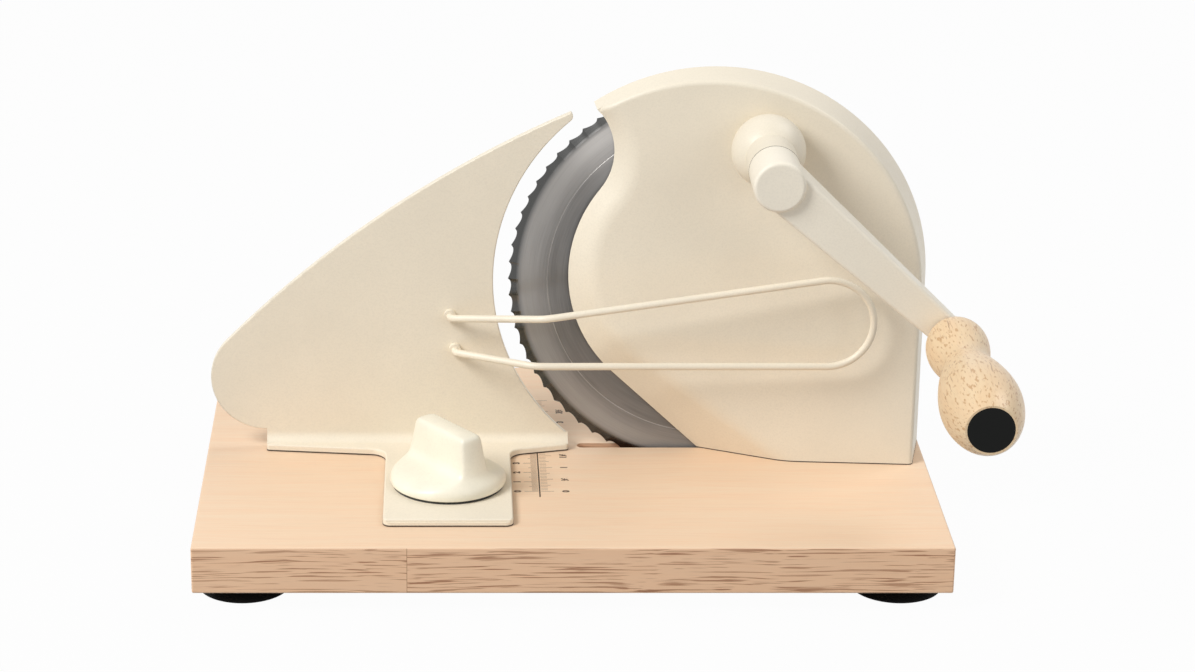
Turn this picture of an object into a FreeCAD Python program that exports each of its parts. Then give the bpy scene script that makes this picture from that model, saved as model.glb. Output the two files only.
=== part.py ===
import FreeCAD, Part
import math
import os

from FreeCAD import Vector

# Hand cranked bread slicer on a wooden board.
# Millimetres. X runs to the right along the board, Y runs away from the user, Z runs up.
# Everything is drawn about the middle of the board and moved once, at the end, so that the
# origin lies under the middle of the whole slicer, on the surface it stands on.

# Board
BOARD_LENGTH = 300.0
BOARD_DEPTH = 200.0
BOARD_THICKNESS = 19.6
BOARD_EDGE_ROUND = 0.8

# Suction feet and their screws
FOOT_HEIGHT = 8.4
FOOT_RADIUS = 18.6
FOOT_NECK_RADIUS = 8.0
FOOT_CUP_RADIUS = 15.4
FOOT_CUP_DEPTH = 3.0
FOOT_LIP = 1.6
FOOT_INSET_X = 19.2
FOOT_INSET_Y = 27.0
FOOT_SCREW_RADIUS = 2.0
FOOT_SCREW_HEAD_RADIUS = 4.0
FOOT_SCREW_HEAD_HEIGHT = 2.4
FOOT_SCREW_GRIP = 12.0

# Fits: two turning pieces, two fixed pieces, two sliding flats
RUNNING_CLEARANCE = 0.05
FIXED_CLEARANCE = 0.02
SLIDING_CLEARANCE = 0.3
TURNING_GAP = 0.3

# Blade: a wavy edged disc that turns about an axis along Y
BLADE_RADIUS = 84.2
BLADE_DIP = 9.7
BLADE_THICKNESS = 1.5
BLADE_FRONT_Y = 6.0
BLADE_WAVES = 72
BLADE_WAVE_DEPTH = 1.7
BLADE_SLOT_CLEARANCE = 1.7
BLADE_SLOT_END_ROOM = 15.5
BLADE_SLOT_DEPTH = 12.0

# Gear pair between crank and blade
GEAR_MODULE = 1.5
GEAR_TEETH = 66
PINION_TEETH = 20
PRESSURE_ANGLE = 20.0
TOOTH_BACKLASH = 0.3
ROOT_FACTOR = 1.25
GEAR_THICKNESS = 3.5
PINION_THICKNESS = 3.7
GEAR_WEB_RADIUS = 41.0
GEAR_WEB_RECESS = 1.2
CRANK_BEARING_ANGLE = 72.0

# Blade bearing
AXLE_RADIUS = 5.0
AXLE_STUD_RADIUS = 4.0
AXLE_STUD_LENGTH = 6.0
AXLE_HEAD_RADIUS = 10.0
AXLE_HEAD_THICKNESS = 2.5
COIN_SLOT_WIDTH = 2.0
COIN_SLOT_DEPTH = 1.4
BLADE_BUSH_WALL = 2.5
AXLE_BOSS_RADIUS = 9.0
RIVET_COUNT = 4
RIVET_CIRCLE_RADIUS = 22.0
RIVET_RADIUS = 2.0
RIVET_HEAD_RADIUS = 3.6
RIVET_HEAD_HEIGHT = 1.0

# Housing: a drafted shell round the front of the blade
HOUSING_MARGIN = 5.3
HOUSING_EDGE_INSET = 0.5
HOUSING_BACK_Y = 12.3
HOUSING_DRAFT = 11.7
HOUSING_WALL = 2.8
RAMP_WALL = 6.0
HOUSING_FRONT_STOCK_Y = -25.0
FACE_Y_AT_CRANK = -3.6
FACE_TURN = 3.9
FACE_LEAN = 2.9
FACE_EDGE_ROUND = 1.8
BLADE_SHOW = 24.9
BULGE_RISE = 3.0
BAY_RADIUS = 26.0
BAY_DIRECTION = 141.9
BAY_OPEN_DIRECTION = 75.0
RAMP_FOOT_DIRECTION = 227.0
RAMP_RUN_PER_DEPTH = 1.5
RAMP_SOFTNESS = 12.0
BLADE_ROOM_RADIAL = 1.4
BLADE_ROOM_FRONT = 1.2
GEAR_ROOM_RADIAL = 0.5
GEAR_ROOM_FRONT = 0.4

# Crank bearing boss on the housing, and what turns in it
BOSS_BALL_RADIUS = 15.0
BOSS_BALL_Y = -13.5
BOSS_STEM_RADIUS = 10.5
BOSS_NECK_RADIUS = 10.3
BOSS_FRONT_Y = -40.0
CRANK_SHAFT_RADIUS = 4.0
BUSH_WALL = 2.0
BUSH_LENGTH = 10.0
BUSH_FLANGE_RADIUS = 8.5
BUSH_FLANGE_THICKNESS = 1.5

# Crank arm
CRANK_LENGTH = 95.0
CRANK_REST_ANGLE = -41.8
HUB_RADIUS = 10.3
HUB_FRONT_Y = -60.6
HUB_WEB_THICKNESS = 2.5
HUB_SCREW_POCKET_RADIUS = 5.4
HUB_SCREW_POCKET_DEPTH = 4.5
HUB_CAP_THICKNESS = 2.0
HUB_CAP_ROUND = 1.5
CRANK_SCREW_RADIUS = 2.5
CRANK_SCREW_HEAD_RADIUS = 4.5
CRANK_SCREW_HEAD_HEIGHT = 3.6
CRANK_SCREW_GRIP = 13.0
ARM_FRONT_Y = -60.0
ARM_ROOT_WIDTH = 18.6
ARM_ROOT_DEPTH = 19.0
ARM_TIP_WIDTH = 12.0
ARM_TIP_DEPTH = 8.5
ARM_EYE_RADIUS = 6.8
ARM_EDGE_ROUND = 1.4

# Wooden handle on its spindle
HANDLE_LENGTH = 95.9
HANDLE_GAP = 0.3
HANDLE_COLLAR_RADIUS = 12.3
HANDLE_WAIST_RADIUS = 9.5
HANDLE_BELLY_RADIUS = 15.6
HANDLE_END_RADIUS = 9.7
SPINDLE_RADIUS = 3.5
SPINDLE_HEAD_RADIUS = 6.0
SPINDLE_HEAD_THICKNESS = 3.0
SPINDLE_RIVET_RADIUS = 5.0
SPINDLE_RIVET_THICKNESS = 1.5
HANDLE_POCKET_RADIUS = 6.8
HANDLE_POCKET_DEPTH = 8.7
HANDLE_CAP_RADIUS = 8.9
HANDLE_CAP_THICKNESS = 2.0
HANDLE_CAP_PLUG_LENGTH = 2.0
SPINDLE_WASHER_RADIUS = 6.4
SPINDLE_WASHER_THICKNESS = 1.0

# Fence plate with its foot and tongue
FENCE_GAP_TO_BLADE = 6.2
FENCE_THICKNESS = 2.5
FENCE_NOSE_RADIUS = 23.0
FENCE_NOSE_X = -125.2
FENCE_NOSE_Z = 59.2
FENCE_SLOPE_RADIUS = 461.6
FENCE_TIP_INSET = 0.5
FENCE_TIP_HEIGHT = 3.64
FENCE_TIP_ROUND = 0.9
FENCE_TOE_HEIGHT = 5.67
FENCE_STEP_X = -125.1
FENCE_LIFT = 0.2
FOOT_PLATE_THICKNESS = 2.8
FOOT_PLATE_LEFT_Y = 0.5
FOOT_PLATE_WAIST_Y = -5.0
FOOT_PLATE_RIGHT_Y = 1.0
FOOT_PLATE_COVE = 4.0
TONGUE_CENTRE_X = -49.0
TONGUE_WIDTH = 52.0
TONGUE_FRONT_Y = -79.4
TONGUE_NECK_ROUND = 7.0
TONGUE_CORNER_ROUND = 3.0
TONGUE_LEDGE = 0.6
TONGUE_LEDGE_DROP = 1.2
FOOT_PLATE_END_ROUND = 1.2
FOOT_PLATE_EDGE_ROUND = 0.7
FENCE_EDGE_ROUND = 0.5

# Clamp under the fence
FENCE_TRAVEL = 20.0
CLAMP_Y = -41.2
KNOB_RADIUS = 23.6
KNOB_SKIRT_HEIGHT = 5.0
KNOB_SHOULDER_RADIUS = 21.4
KNOB_SHOULDER_HEIGHT = 8.0
KNOB_HEIGHT = 24.0
KNOB_TURN = -53.0
GRIP_ROOT_LENGTH = 42.0
GRIP_TOP_LENGTH = 34.6
GRIP_ROOT_WIDTH = 16.0
GRIP_TOP_WIDTH = 9.0
GRIP_ROUND = 2.2
WASHER_RADIUS = 20.0
WASHER_THICKNESS = 1.0
STUD_RADIUS = 3.0
STUD_DEPTH_IN_KNOB = 14.0
GUIDE_WIDTH = 8.0
GUIDE_LENGTH = 24.0
GUIDE_HEIGHT = 9.4
NUT_PLATE_SIZE = 22.0
NUT_PLATE_THICKNESS = 4.5
CHANNEL_DEPTH = 9.6
CHANNEL_ROOM = 1.0

# Wire guard in front of the blade
WIRE_RADIUS = 1.5
WIRE_PLANE_Y = -19.5
WIRE_LOOP_RADIUS = 18.7
WIRE_LOOP_REACH = 46.0
WIRE_LOOP_DROP = 10.3
WIRE_UPPER_SLOPE = 8.4
WIRE_UPPER_END_INSET = 24.0
WIRE_UPPER_END_DROP = 15.1
WIRE_UPPER_BEND_RUN = 38.7
WIRE_LOWER_END_INSET = 21.9
WIRE_LOWER_END_DROP = 30.1
WIRE_LOWER_BEND_RUN = 32.7
WIRE_STANDOFF = 5.0
WIRE_TIGHT_BEND = 4.0
WIRE_WIDE_BEND = 14.0
COLLAR_RADIUS = 2.5
COLLAR_LENGTH = 2.6

# Screws that hold the housing down
HOUSING_SCREW_RADIUS = 2.0
HOUSING_SCREW_HEAD_RADIUS = 4.0
HOUSING_SCREW_HEAD_HEIGHT = 3.0
HOUSING_SCREW_GRIP = 14.0
HOUSING_SCREW_SINK = 5.0
SCREW_BOSS_RADIUS = 4.6
SCREW_BOSS_HEIGHT = 18.0
FRONT_SCREW_REACH = 24.0
FRONT_SCREW_Y = -1.2
CORNER_SCREW_REACH = 62.0
CORNER_SCREW_PITCH = 17.0
CORNER_SCREW_Y = 1.0

# Worked out from the values above
BOARD_BOTTOM = FOOT_HEIGHT
BOARD_TOP = BOARD_BOTTOM + BOARD_THICKNESS
HOUSING_RADIUS = BLADE_RADIUS + HOUSING_MARGIN
BULGE_RADIUS = BLADE_RADIUS - BLADE_SHOW
BLADE_AXIS_X = BOARD_LENGTH / 2 - HOUSING_EDGE_INSET - HOUSING_RADIUS
BLADE_AXIS_Z = BOARD_TOP + BLADE_RADIUS - BLADE_DIP
BLADE_BACK_Y = BLADE_FRONT_Y + BLADE_THICKNESS
GEAR_FRONT_Y = BLADE_FRONT_Y - GEAR_THICKNESS
GEAR_CENTRES = GEAR_MODULE * (GEAR_TEETH + PINION_TEETH) / 2
CRANK_AXIS_X = BLADE_AXIS_X + GEAR_CENTRES * math.cos(math.radians(CRANK_BEARING_ANGLE))
CRANK_AXIS_Z = BLADE_AXIS_Z + GEAR_CENTRES * math.sin(math.radians(CRANK_BEARING_ANGLE))
HANDLE_AXIS_X = CRANK_AXIS_X + CRANK_LENGTH * math.cos(math.radians(CRANK_REST_ANGLE))
HANDLE_AXIS_Z = CRANK_AXIS_Z + CRANK_LENGTH * math.sin(math.radians(CRANK_REST_ANGLE))
BLADE_ROOM_RADIUS = BLADE_RADIUS + BLADE_ROOM_RADIAL
GEAR_TIP_RADIUS = GEAR_MODULE * (GEAR_TEETH + 2) / 2
PINION_TIP_RADIUS = GEAR_MODULE * (PINION_TEETH + 2) / 2
PINION_FRONT_Y = BLADE_FRONT_Y - TURNING_GAP * 2 - PINION_THICKNESS
BUSH_RADIUS = CRANK_SHAFT_RADIUS + BUSH_WALL
FENCE_BACK_Y = BLADE_BACK_Y
FENCE_FRONT_Y = FENCE_BACK_Y - FENCE_THICKNESS
FENCE_BOTTOM = BOARD_TOP + FENCE_LIFT
FENCE_ARC_RADIUS = BLADE_RADIUS + FENCE_GAP_TO_BLADE
FENCE_ARC_DROP = BLADE_AXIS_Z - BOARD_TOP - FENCE_TOE_HEIGHT
FENCE_RIGHT_X = BLADE_AXIS_X - math.sqrt(FENCE_ARC_RADIUS ** 2 - FENCE_ARC_DROP ** 2)
FENCE_TIP_X = FENCE_RIGHT_X - FENCE_TIP_INSET
FOOT_PLATE_TOP = FENCE_BOTTOM + FOOT_PLATE_THICKNESS
KNOB_BOTTOM = FOOT_PLATE_TOP + WASHER_THICKNESS
CHANNEL_TOP = BOARD_BOTTOM + CHANNEL_DEPTH
NUT_PLATE_TOP = CHANNEL_TOP - SLIDING_CLEARANCE
WIRE_LOOP_X = BLADE_AXIS_X + WIRE_LOOP_REACH
WIRE_LOOP_Z = BLADE_AXIS_Z - WIRE_LOOP_DROP
WIRE_UPPER_END_X = BLADE_AXIS_X - BLADE_RADIUS - WIRE_UPPER_END_INSET
WIRE_UPPER_END_Z = BLADE_AXIS_Z - WIRE_UPPER_END_DROP
WIRE_LOWER_END_X = BLADE_AXIS_X - BLADE_RADIUS - WIRE_LOWER_END_INSET
WIRE_LOWER_END_Z = BLADE_AXIS_Z - WIRE_LOWER_END_DROP
FRONT_SCREW_X = BLADE_AXIS_X + FRONT_SCREW_REACH
CORNER_SCREW_X = BLADE_AXIS_X + CORNER_SCREW_REACH
HANDLE_BACK_Y = ARM_FRONT_Y - SPINDLE_WASHER_THICKNESS - HANDLE_GAP
HANDLE_FRONT_Y = HANDLE_BACK_Y - HANDLE_LENGTH
BIG = 400.0


def block(x0, x1, y0, y1, z0, z1):
    """Box between two corners."""
    return Part.makeBox(x1 - x0, y1 - y0, z1 - z0, Vector(x0, y0, z0))


def rod_y(x, z, radius, y0, y1):
    """Round rod along Y."""
    return Part.makeCylinder(radius, y1 - y0, Vector(x, y0, z), Vector(0, 1, 0))


def rod_z(x, y, radius, z0, z1):
    """Round rod along Z."""
    return Part.makeCylinder(radius, z1 - z0, Vector(x, y, z0), Vector(0, 0, 1))


def on_circle(centre_x, centre_z, radius, angle):
    """Point on a circle in the XZ plane, angle in degrees from +X towards +Z."""
    turn = math.radians(angle)
    return centre_x + radius * math.cos(turn), centre_z + radius * math.sin(turn)


def line(start, end, y):
    """Straight edge in the XZ plane at the given Y."""
    return Part.LineSegment(Vector(start[0], y, start[1]), Vector(end[0], y, end[1])).toShape()


def arc(start, middle, end, y):
    """Arc through three points of the XZ plane at the given Y."""
    points = [Vector(point[0], y, point[1]) for point in (start, middle, end)]
    return Part.Arc(*points).toShape()


def prism(edges, depth):
    """Closed outline in the XZ plane pushed along +Y."""
    return Part.Face(Part.Wire(edges)).extrude(Vector(0, depth, 0))


def plan_prism(points, z0, height):
    """Closed straight sided outline in plan, pushed up."""
    corners = [Vector(x, y, z0) for x, y in points]
    return Part.Face(Part.makePolygon(corners + corners[:1])).extrude(Vector(0, 0, height))


def turned_y(edges, x, z):
    """Profile drawn in the XY plane about x = 0, turned into a solid about an axis along Y."""
    solid = Part.Face(Part.Wire(edges)).revolve(Vector(0, 0, 0), Vector(0, 1, 0), 360)
    solid.translate(Vector(x, 0, z))
    return solid


def profile_line(a, b):
    """Straight stretch of a turned profile, points given as radius and place along the axis."""
    return Part.LineSegment(Vector(a[0], a[1], 0), Vector(b[0], b[1], 0)).toShape()


def profile_arc(a, b, c):
    """Round stretch of a turned profile through three points."""
    return Part.Arc(*[Vector(p[0], p[1], 0) for p in (a, b, c)]).toShape()


def turned_z(points, x, y):
    """Straight sided profile of radius and height, turned about an axis along Z."""
    corners = [Vector(radius, 0, height) for radius, height in points]
    face = Part.Face(Part.makePolygon(corners + corners[:1]))
    solid = face.revolve(Vector(0, 0, 0), Vector(0, 0, 1), 360)
    solid.translate(Vector(x, y, 0))
    return solid


def rounded(solid, radius, wanted):
    """Round the edges that the test picks."""
    edges = [edge for edge in solid.Edges if wanted(edge)]
    return solid.makeFillet(radius, edges)


def runs_along(edge, direction):
    """True for a straight edge along the direction."""
    if not isinstance(edge.Curve, Part.Line):
        return False
    return abs(abs(edge.tangentAt(edge.FirstParameter).dot(direction)) - 1) < 1e-6


def base_board():
    """Wooden board with the blade's slot, the clamp's slot and channel, and screw holes."""
    half_length = BOARD_LENGTH / 2
    half_depth = BOARD_DEPTH / 2
    board = block(-half_length, half_length, -half_depth, half_depth, BOARD_BOTTOM, BOARD_TOP)
    board = board.makeFillet(BOARD_EDGE_ROUND, board.Edges)
    board = board.cut(blade_slot())
    guide_half = GUIDE_WIDTH / 2 + SLIDING_CLEARANCE
    slot_back = CLAMP_Y + GUIDE_LENGTH / 2 + CHANNEL_ROOM
    slot_front = CLAMP_Y - GUIDE_LENGTH / 2 - FENCE_TRAVEL - CHANNEL_ROOM
    board = board.cut(block(TONGUE_CENTRE_X - guide_half, TONGUE_CENTRE_X + guide_half,
                            slot_front, slot_back, BOARD_BOTTOM, BOARD_TOP))
    channel_half = NUT_PLATE_SIZE / 2 + SLIDING_CLEARANCE
    channel_back = CLAMP_Y + NUT_PLATE_SIZE / 2 + CHANNEL_ROOM
    channel_front = CLAMP_Y - NUT_PLATE_SIZE / 2 - FENCE_TRAVEL - CHANNEL_ROOM
    board = board.cut(block(TONGUE_CENTRE_X - channel_half, TONGUE_CENTRE_X + channel_half,
                            channel_front, channel_back, BOARD_BOTTOM, CHANNEL_TOP))
    for x, y in foot_places():
        board = board.cut(rod_z(x, y, FOOT_SCREW_RADIUS + FIXED_CLEARANCE,
                                BOARD_BOTTOM, BOARD_BOTTOM + FOOT_SCREW_GRIP))
    for x, y in housing_screw_places():
        board = board.cut(rod_z(x, y, HOUSING_SCREW_RADIUS + FIXED_CLEARANCE,
                                BOARD_BOTTOM, BOARD_TOP))
        board = board.cut(rod_z(x, y, HOUSING_SCREW_HEAD_RADIUS + SLIDING_CLEARANCE,
                                BOARD_BOTTOM, BOARD_BOTTOM + HOUSING_SCREW_SINK))
    return board


def blade_slot():
    """Round ended groove that the blade's lowest part dips into."""
    drop = BLADE_AXIS_Z - BOARD_TOP
    half_chord = math.sqrt(BLADE_RADIUS ** 2 - drop ** 2) + BLADE_SLOT_END_ROOM
    front = BLADE_FRONT_Y - BLADE_SLOT_CLEARANCE
    back = BLADE_BACK_Y + BLADE_SLOT_CLEARANCE
    radius = (back - front) / 2
    floor = BOARD_TOP - BLADE_SLOT_DEPTH
    slot = block(BLADE_AXIS_X - half_chord + radius, BLADE_AXIS_X + half_chord - radius,
                 front, back, floor, BOARD_TOP)
    for side in (-1, 1):
        slot = slot.fuse(rod_z(BLADE_AXIS_X + side * (half_chord - radius), (front + back) / 2,
                               radius, floor, BOARD_TOP))
    return slot


def foot_places():
    """Plan positions of the four feet."""
    x = BOARD_LENGTH / 2 - FOOT_INSET_X
    y = BOARD_DEPTH / 2 - FOOT_INSET_Y
    return [(-x, -y), (x, -y), (-x, y), (x, y)]


def suction_foot(x, y):
    """Rubber cup with a neck, a hollow underside and a seat for its screw head."""
    seat = FOOT_CUP_DEPTH + FOOT_SCREW_HEAD_HEIGHT
    hole = FOOT_SCREW_RADIUS + FIXED_CLEARANCE
    pocket = FOOT_SCREW_HEAD_RADIUS + SLIDING_CLEARANCE
    profile = [(FOOT_RADIUS, 0), (FOOT_RADIUS, FOOT_LIP),
               (FOOT_NECK_RADIUS + FOOT_LIP, seat), (FOOT_NECK_RADIUS, seat + FOOT_LIP),
               (FOOT_NECK_RADIUS, FOOT_HEIGHT), (hole, FOOT_HEIGHT), (hole, seat),
               (pocket, seat), (pocket, FOOT_CUP_DEPTH), (FOOT_CUP_RADIUS, 0)]
    return turned_z(profile, x, y)


def foot_screws():
    """One pan head screw up through each foot."""
    seat = FOOT_CUP_DEPTH + FOOT_SCREW_HEAD_HEIGHT
    screws = []
    for x, y in foot_places():
        head = rod_z(x, y, FOOT_SCREW_HEAD_RADIUS, FOOT_CUP_DEPTH, seat)
        shank = rod_z(x, y, FOOT_SCREW_RADIUS, seat, BOARD_BOTTOM + FOOT_SCREW_GRIP)
        screws.append(head.fuse(shank).removeSplitter())
    return Part.makeCompound(screws)


def housing_screw_places():
    """Plan positions of the screws that come up through the board."""
    return [(FRONT_SCREW_X, FRONT_SCREW_Y), (CORNER_SCREW_X, CORNER_SCREW_Y),
            (CORNER_SCREW_X + CORNER_SCREW_PITCH, CORNER_SCREW_Y)]


def housing_screws():
    """Three screws with their heads sunk into the board's underside."""
    head_top = BOARD_BOTTOM + HOUSING_SCREW_SINK
    screws = []
    for x, y in housing_screw_places():
        head = rod_z(x, y, HOUSING_SCREW_HEAD_RADIUS,
                     head_top - HOUSING_SCREW_HEAD_HEIGHT, head_top)
        shank = rod_z(x, y, HOUSING_SCREW_RADIUS, head_top, BOARD_TOP + HOUSING_SCREW_GRIP)
        screws.append(head.fuse(shank).removeSplitter())
    return Part.makeCompound(screws)


def housing_outline(y, draft):
    """Front view outline at one depth, with the outer circle and right wall drawn in by draft."""
    radius = HOUSING_RADIUS - draft
    bay_x, bay_z = bay_centre()
    joint, foot, bulge_middle = bulge_points(0)
    slope = math.radians(RAMP_FOOT_DIRECTION - 270)
    toe = (foot[0] + (foot[1] - BOARD_TOP) / math.tan(-slope), BOARD_TOP)
    corner = (BLADE_AXIS_X + radius, BOARD_TOP)
    side = (BLADE_AXIS_X + radius, BLADE_AXIS_Z)
    tip = circles_meet(BLADE_AXIS_X, BLADE_AXIS_Z, radius, bay_x, bay_z, BAY_RADIUS)
    tip_angle = math.degrees(math.atan2(tip[1] - BLADE_AXIS_Z, tip[0] - BLADE_AXIS_X))
    crown = on_circle(BLADE_AXIS_X, BLADE_AXIS_Z, radius, tip_angle / 2)
    bay_start = math.degrees(math.atan2(tip[1] - bay_z, tip[0] - bay_x))
    bay_middle = on_circle(bay_x, bay_z, BAY_RADIUS, (bay_start + BAY_DIRECTION - 180) / 2)
    return [arc(tip, bay_middle, joint, y), arc(joint, bulge_middle, foot, y),
            line(foot, toe, y), line(toe, corner, y), line(corner, side, y),
            arc(side, crown, tip, y)]


def bay_centre():
    """Centre of the hollow curve above the bulge."""
    return on_circle(BLADE_AXIS_X, BLADE_AXIS_Z + BULGE_RISE, BULGE_RADIUS + BAY_RADIUS,
                     BAY_DIRECTION)


def bulge_points(inset):
    """Start, end and middle of the bulge's arc, drawn in by inset."""
    radius = BULGE_RADIUS - inset
    centre_z = BLADE_AXIS_Z + BULGE_RISE
    middle_angle = (BAY_DIRECTION + RAMP_FOOT_DIRECTION) / 2
    return (on_circle(BLADE_AXIS_X, centre_z, radius, BAY_DIRECTION),
            on_circle(BLADE_AXIS_X, centre_z, radius, RAMP_FOOT_DIRECTION),
            on_circle(BLADE_AXIS_X, centre_z, radius, middle_angle))


def ramp_outline(y, inset):
    """Loaf side of the housing at one depth, closed far outside its other sides."""
    bay_x, bay_z = bay_centre()
    joint, foot, bulge_middle = bulge_points(inset)
    bay = BAY_RADIUS + inset
    start = on_circle(bay_x, bay_z, bay, BAY_OPEN_DIRECTION)
    bay_middle = on_circle(bay_x, bay_z, bay, (BAY_OPEN_DIRECTION + BAY_DIRECTION - 180) / 2)
    slope = math.radians(RAMP_FOOT_DIRECTION - 270)
    toe = (foot[0] + BIG * math.cos(slope), foot[1] + BIG * math.sin(slope))
    low = (BIG, toe[1])
    far = (BIG, BIG)
    high = (start[0], BIG)
    return [arc(start, bay_middle, joint, y), arc(joint, bulge_middle, foot, y),
            line(foot, toe, y), line(toe, low, y), line(low, far, y), line(far, high, y),
            line(high, start, y)]


def ramp_stock(inset):
    """All that lies behind the ramp that leads the slice from the blade over the housing."""
    lip_y = BLADE_FRONT_Y - BLADE_ROOM_FRONT
    run = RAMP_RUN_PER_DEPTH * (lip_y - HOUSING_FRONT_STOCK_Y)
    lip = Part.Wire(ramp_outline(lip_y, inset))
    front = Part.Wire(ramp_outline(HOUSING_FRONT_STOCK_Y, inset + run))
    behind = block(-BIG, BIG, lip_y, HOUSING_BACK_Y + BIG, -BIG, BIG)
    return Part.makeLoft([lip, front], True, True).fuse(behind)


def circles_meet(ax, az, a, bx, bz, b):
    """The crossing of two circles that lies to the left, going from the first to the second."""
    gap = math.hypot(bx - ax, bz - az)
    along = (a * a - b * b + gap * gap) / (2 * gap)
    across = math.sqrt(a * a - along * along)
    ux = (bx - ax) / gap
    uz = (bz - az) / gap
    return ax + along * ux + across * uz, az + along * uz - across * ux


def behind_face(sink):
    """Everything behind the housing's sloping front face, sunk in by the given depth."""
    normal = Vector(math.sin(math.radians(FACE_TURN)), 1, -math.sin(math.radians(FACE_LEAN)))
    normal.normalize()
    stock = block(-BIG, BIG, 0, BIG, -BIG, BIG)
    on_face = Vector(CRANK_AXIS_X, FACE_Y_AT_CRANK, CRANK_AXIS_Z) + normal * sink
    stock.Placement = FreeCAD.Placement(on_face, FreeCAD.Rotation(Vector(0, 1, 0), normal))
    return stock


def tapered_stock(wall):
    """Drafted block of the housing, its outer walls drawn in by the wall."""
    taper = math.tan(math.radians(HOUSING_DRAFT)) * (HOUSING_BACK_Y - HOUSING_FRONT_STOCK_Y)
    back = Part.Wire(housing_outline(HOUSING_BACK_Y, wall))
    front = Part.Wire(housing_outline(HOUSING_FRONT_STOCK_Y, wall + taper))
    return Part.makeLoft([back, front], True, True)


def housing_shell():
    """Cast cover: drafted shell, bearing boss for the crank, boss for the blade's axle."""
    shell = tapered_stock(0).common(behind_face(0)).common(ramp_stock(0))
    shell = rounded(shell, RAMP_SOFTNESS, loaf_edge)
    shell = rounded(shell, FACE_EDGE_ROUND, outer_edge)
    shell = shell.fuse(crank_boss_outside())
    shell = shell.cut(housing_cavity())
    shell = shell.fuse(axle_boss()).fuse(front_screw_boss())
    return drill_housing(shell).removeSplitter()


def near_front_face(point):
    """Distance of a point behind the sloping front face."""
    turn = math.sin(math.radians(FACE_TURN))
    lean = math.sin(math.radians(FACE_LEAN))
    reach = math.sqrt(1 + turn * turn + lean * lean)
    depth = (point.y - FACE_Y_AT_CRANK + turn * (point.x - CRANK_AXIS_X)
             - lean * (point.z - CRANK_AXIS_Z))
    return depth / reach


def is_front_edge(edge):
    """True for an edge that lies in the sloping front face."""
    return all(abs(near_front_face(edge.valueAt(edge.FirstParameter + share * (
        edge.LastParameter - edge.FirstParameter)))) < 0.01 for share in (0, 0.5, 1))


def outer_edge(edge):
    """True for a front edge on the outer circle or the right wall."""
    middle = edge.valueAt((edge.FirstParameter + edge.LastParameter) / 2)
    far = math.hypot(middle.x - BLADE_AXIS_X, middle.z - BLADE_AXIS_Z)
    on_right = middle.x > BLADE_AXIS_X + BULGE_RADIUS and middle.z > BOARD_TOP + 1
    return is_front_edge(edge) and (far > HOUSING_RADIUS - 10 and middle.z > BLADE_AXIS_Z
                                    or on_right)


def loaf_edge(edge):
    """True for a front edge on the loaf's side."""
    middle = edge.valueAt((edge.FirstParameter + edge.LastParameter) / 2)
    return is_front_edge(edge) and not outer_edge(edge) and middle.z > BOARD_TOP + 1


def crank_boss_outside():
    """Ball shaped boss on a stem, narrowing to a neck, with the crank's bore along it."""
    back = BLADE_FRONT_Y - BLADE_ROOM_FRONT
    inner = BUSH_RADIUS / 2
    ball_back = BOSS_BALL_Y + math.sqrt(BOSS_BALL_RADIUS ** 2 - BOSS_STEM_RADIUS ** 2)
    ball_front = BOSS_BALL_Y - math.sqrt(BOSS_BALL_RADIUS ** 2 - BOSS_NECK_RADIUS ** 2)
    edges = [profile_line((inner, back), (BOSS_STEM_RADIUS, back)),
             profile_line((BOSS_STEM_RADIUS, back), (BOSS_STEM_RADIUS, ball_back)),
             profile_arc((BOSS_STEM_RADIUS, ball_back), (BOSS_BALL_RADIUS, BOSS_BALL_Y),
                         (BOSS_NECK_RADIUS, ball_front)),
             profile_line((BOSS_NECK_RADIUS, ball_front), (BOSS_NECK_RADIUS, BOSS_FRONT_Y)),
             profile_line((BOSS_NECK_RADIUS, BOSS_FRONT_Y), (inner, BOSS_FRONT_Y)),
             profile_line((inner, BOSS_FRONT_Y), (inner, back))]
    return turned_y(edges, CRANK_AXIS_X, CRANK_AXIS_Z)


def housing_cavity():
    """Room for the blade, its gear and the pinion."""
    blade_room = rod_y(BLADE_AXIS_X, BLADE_AXIS_Z, BLADE_ROOM_RADIUS, -BIG, BIG)
    hollow = tapered_stock(HOUSING_WALL).common(behind_face(HOUSING_WALL))
    hollow = hollow.common(ramp_stock(RAMP_WALL)).common(blade_room)
    gear_room = rod_y(BLADE_AXIS_X, BLADE_AXIS_Z, GEAR_TIP_RADIUS + GEAR_ROOM_RADIAL,
                      GEAR_FRONT_Y - GEAR_ROOM_FRONT, BIG)
    behind_blade = rod_y(BLADE_AXIS_X, BLADE_AXIS_Z, BLADE_ROOM_RADIUS,
                         BLADE_FRONT_Y - BLADE_ROOM_FRONT, BIG)
    return hollow.fuse(gear_room).fuse(behind_blade)


def axle_boss():
    """Boss inside the front wall that the blade's axle screws into."""
    boss = rod_y(BLADE_AXIS_X, BLADE_AXIS_Z, AXLE_BOSS_RADIUS, HOUSING_FRONT_STOCK_Y,
                 GEAR_FRONT_Y - TURNING_GAP)
    return boss.common(behind_face(HOUSING_WALL / 2))


def front_screw_boss():
    """Boss behind the front wall for the screw nearest the loaf."""
    boss = rod_z(FRONT_SCREW_X, FRONT_SCREW_Y, SCREW_BOSS_RADIUS, BOARD_TOP,
                 BOARD_TOP + SCREW_BOSS_HEIGHT)
    return boss.common(behind_face(HOUSING_WALL / 2))


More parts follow.
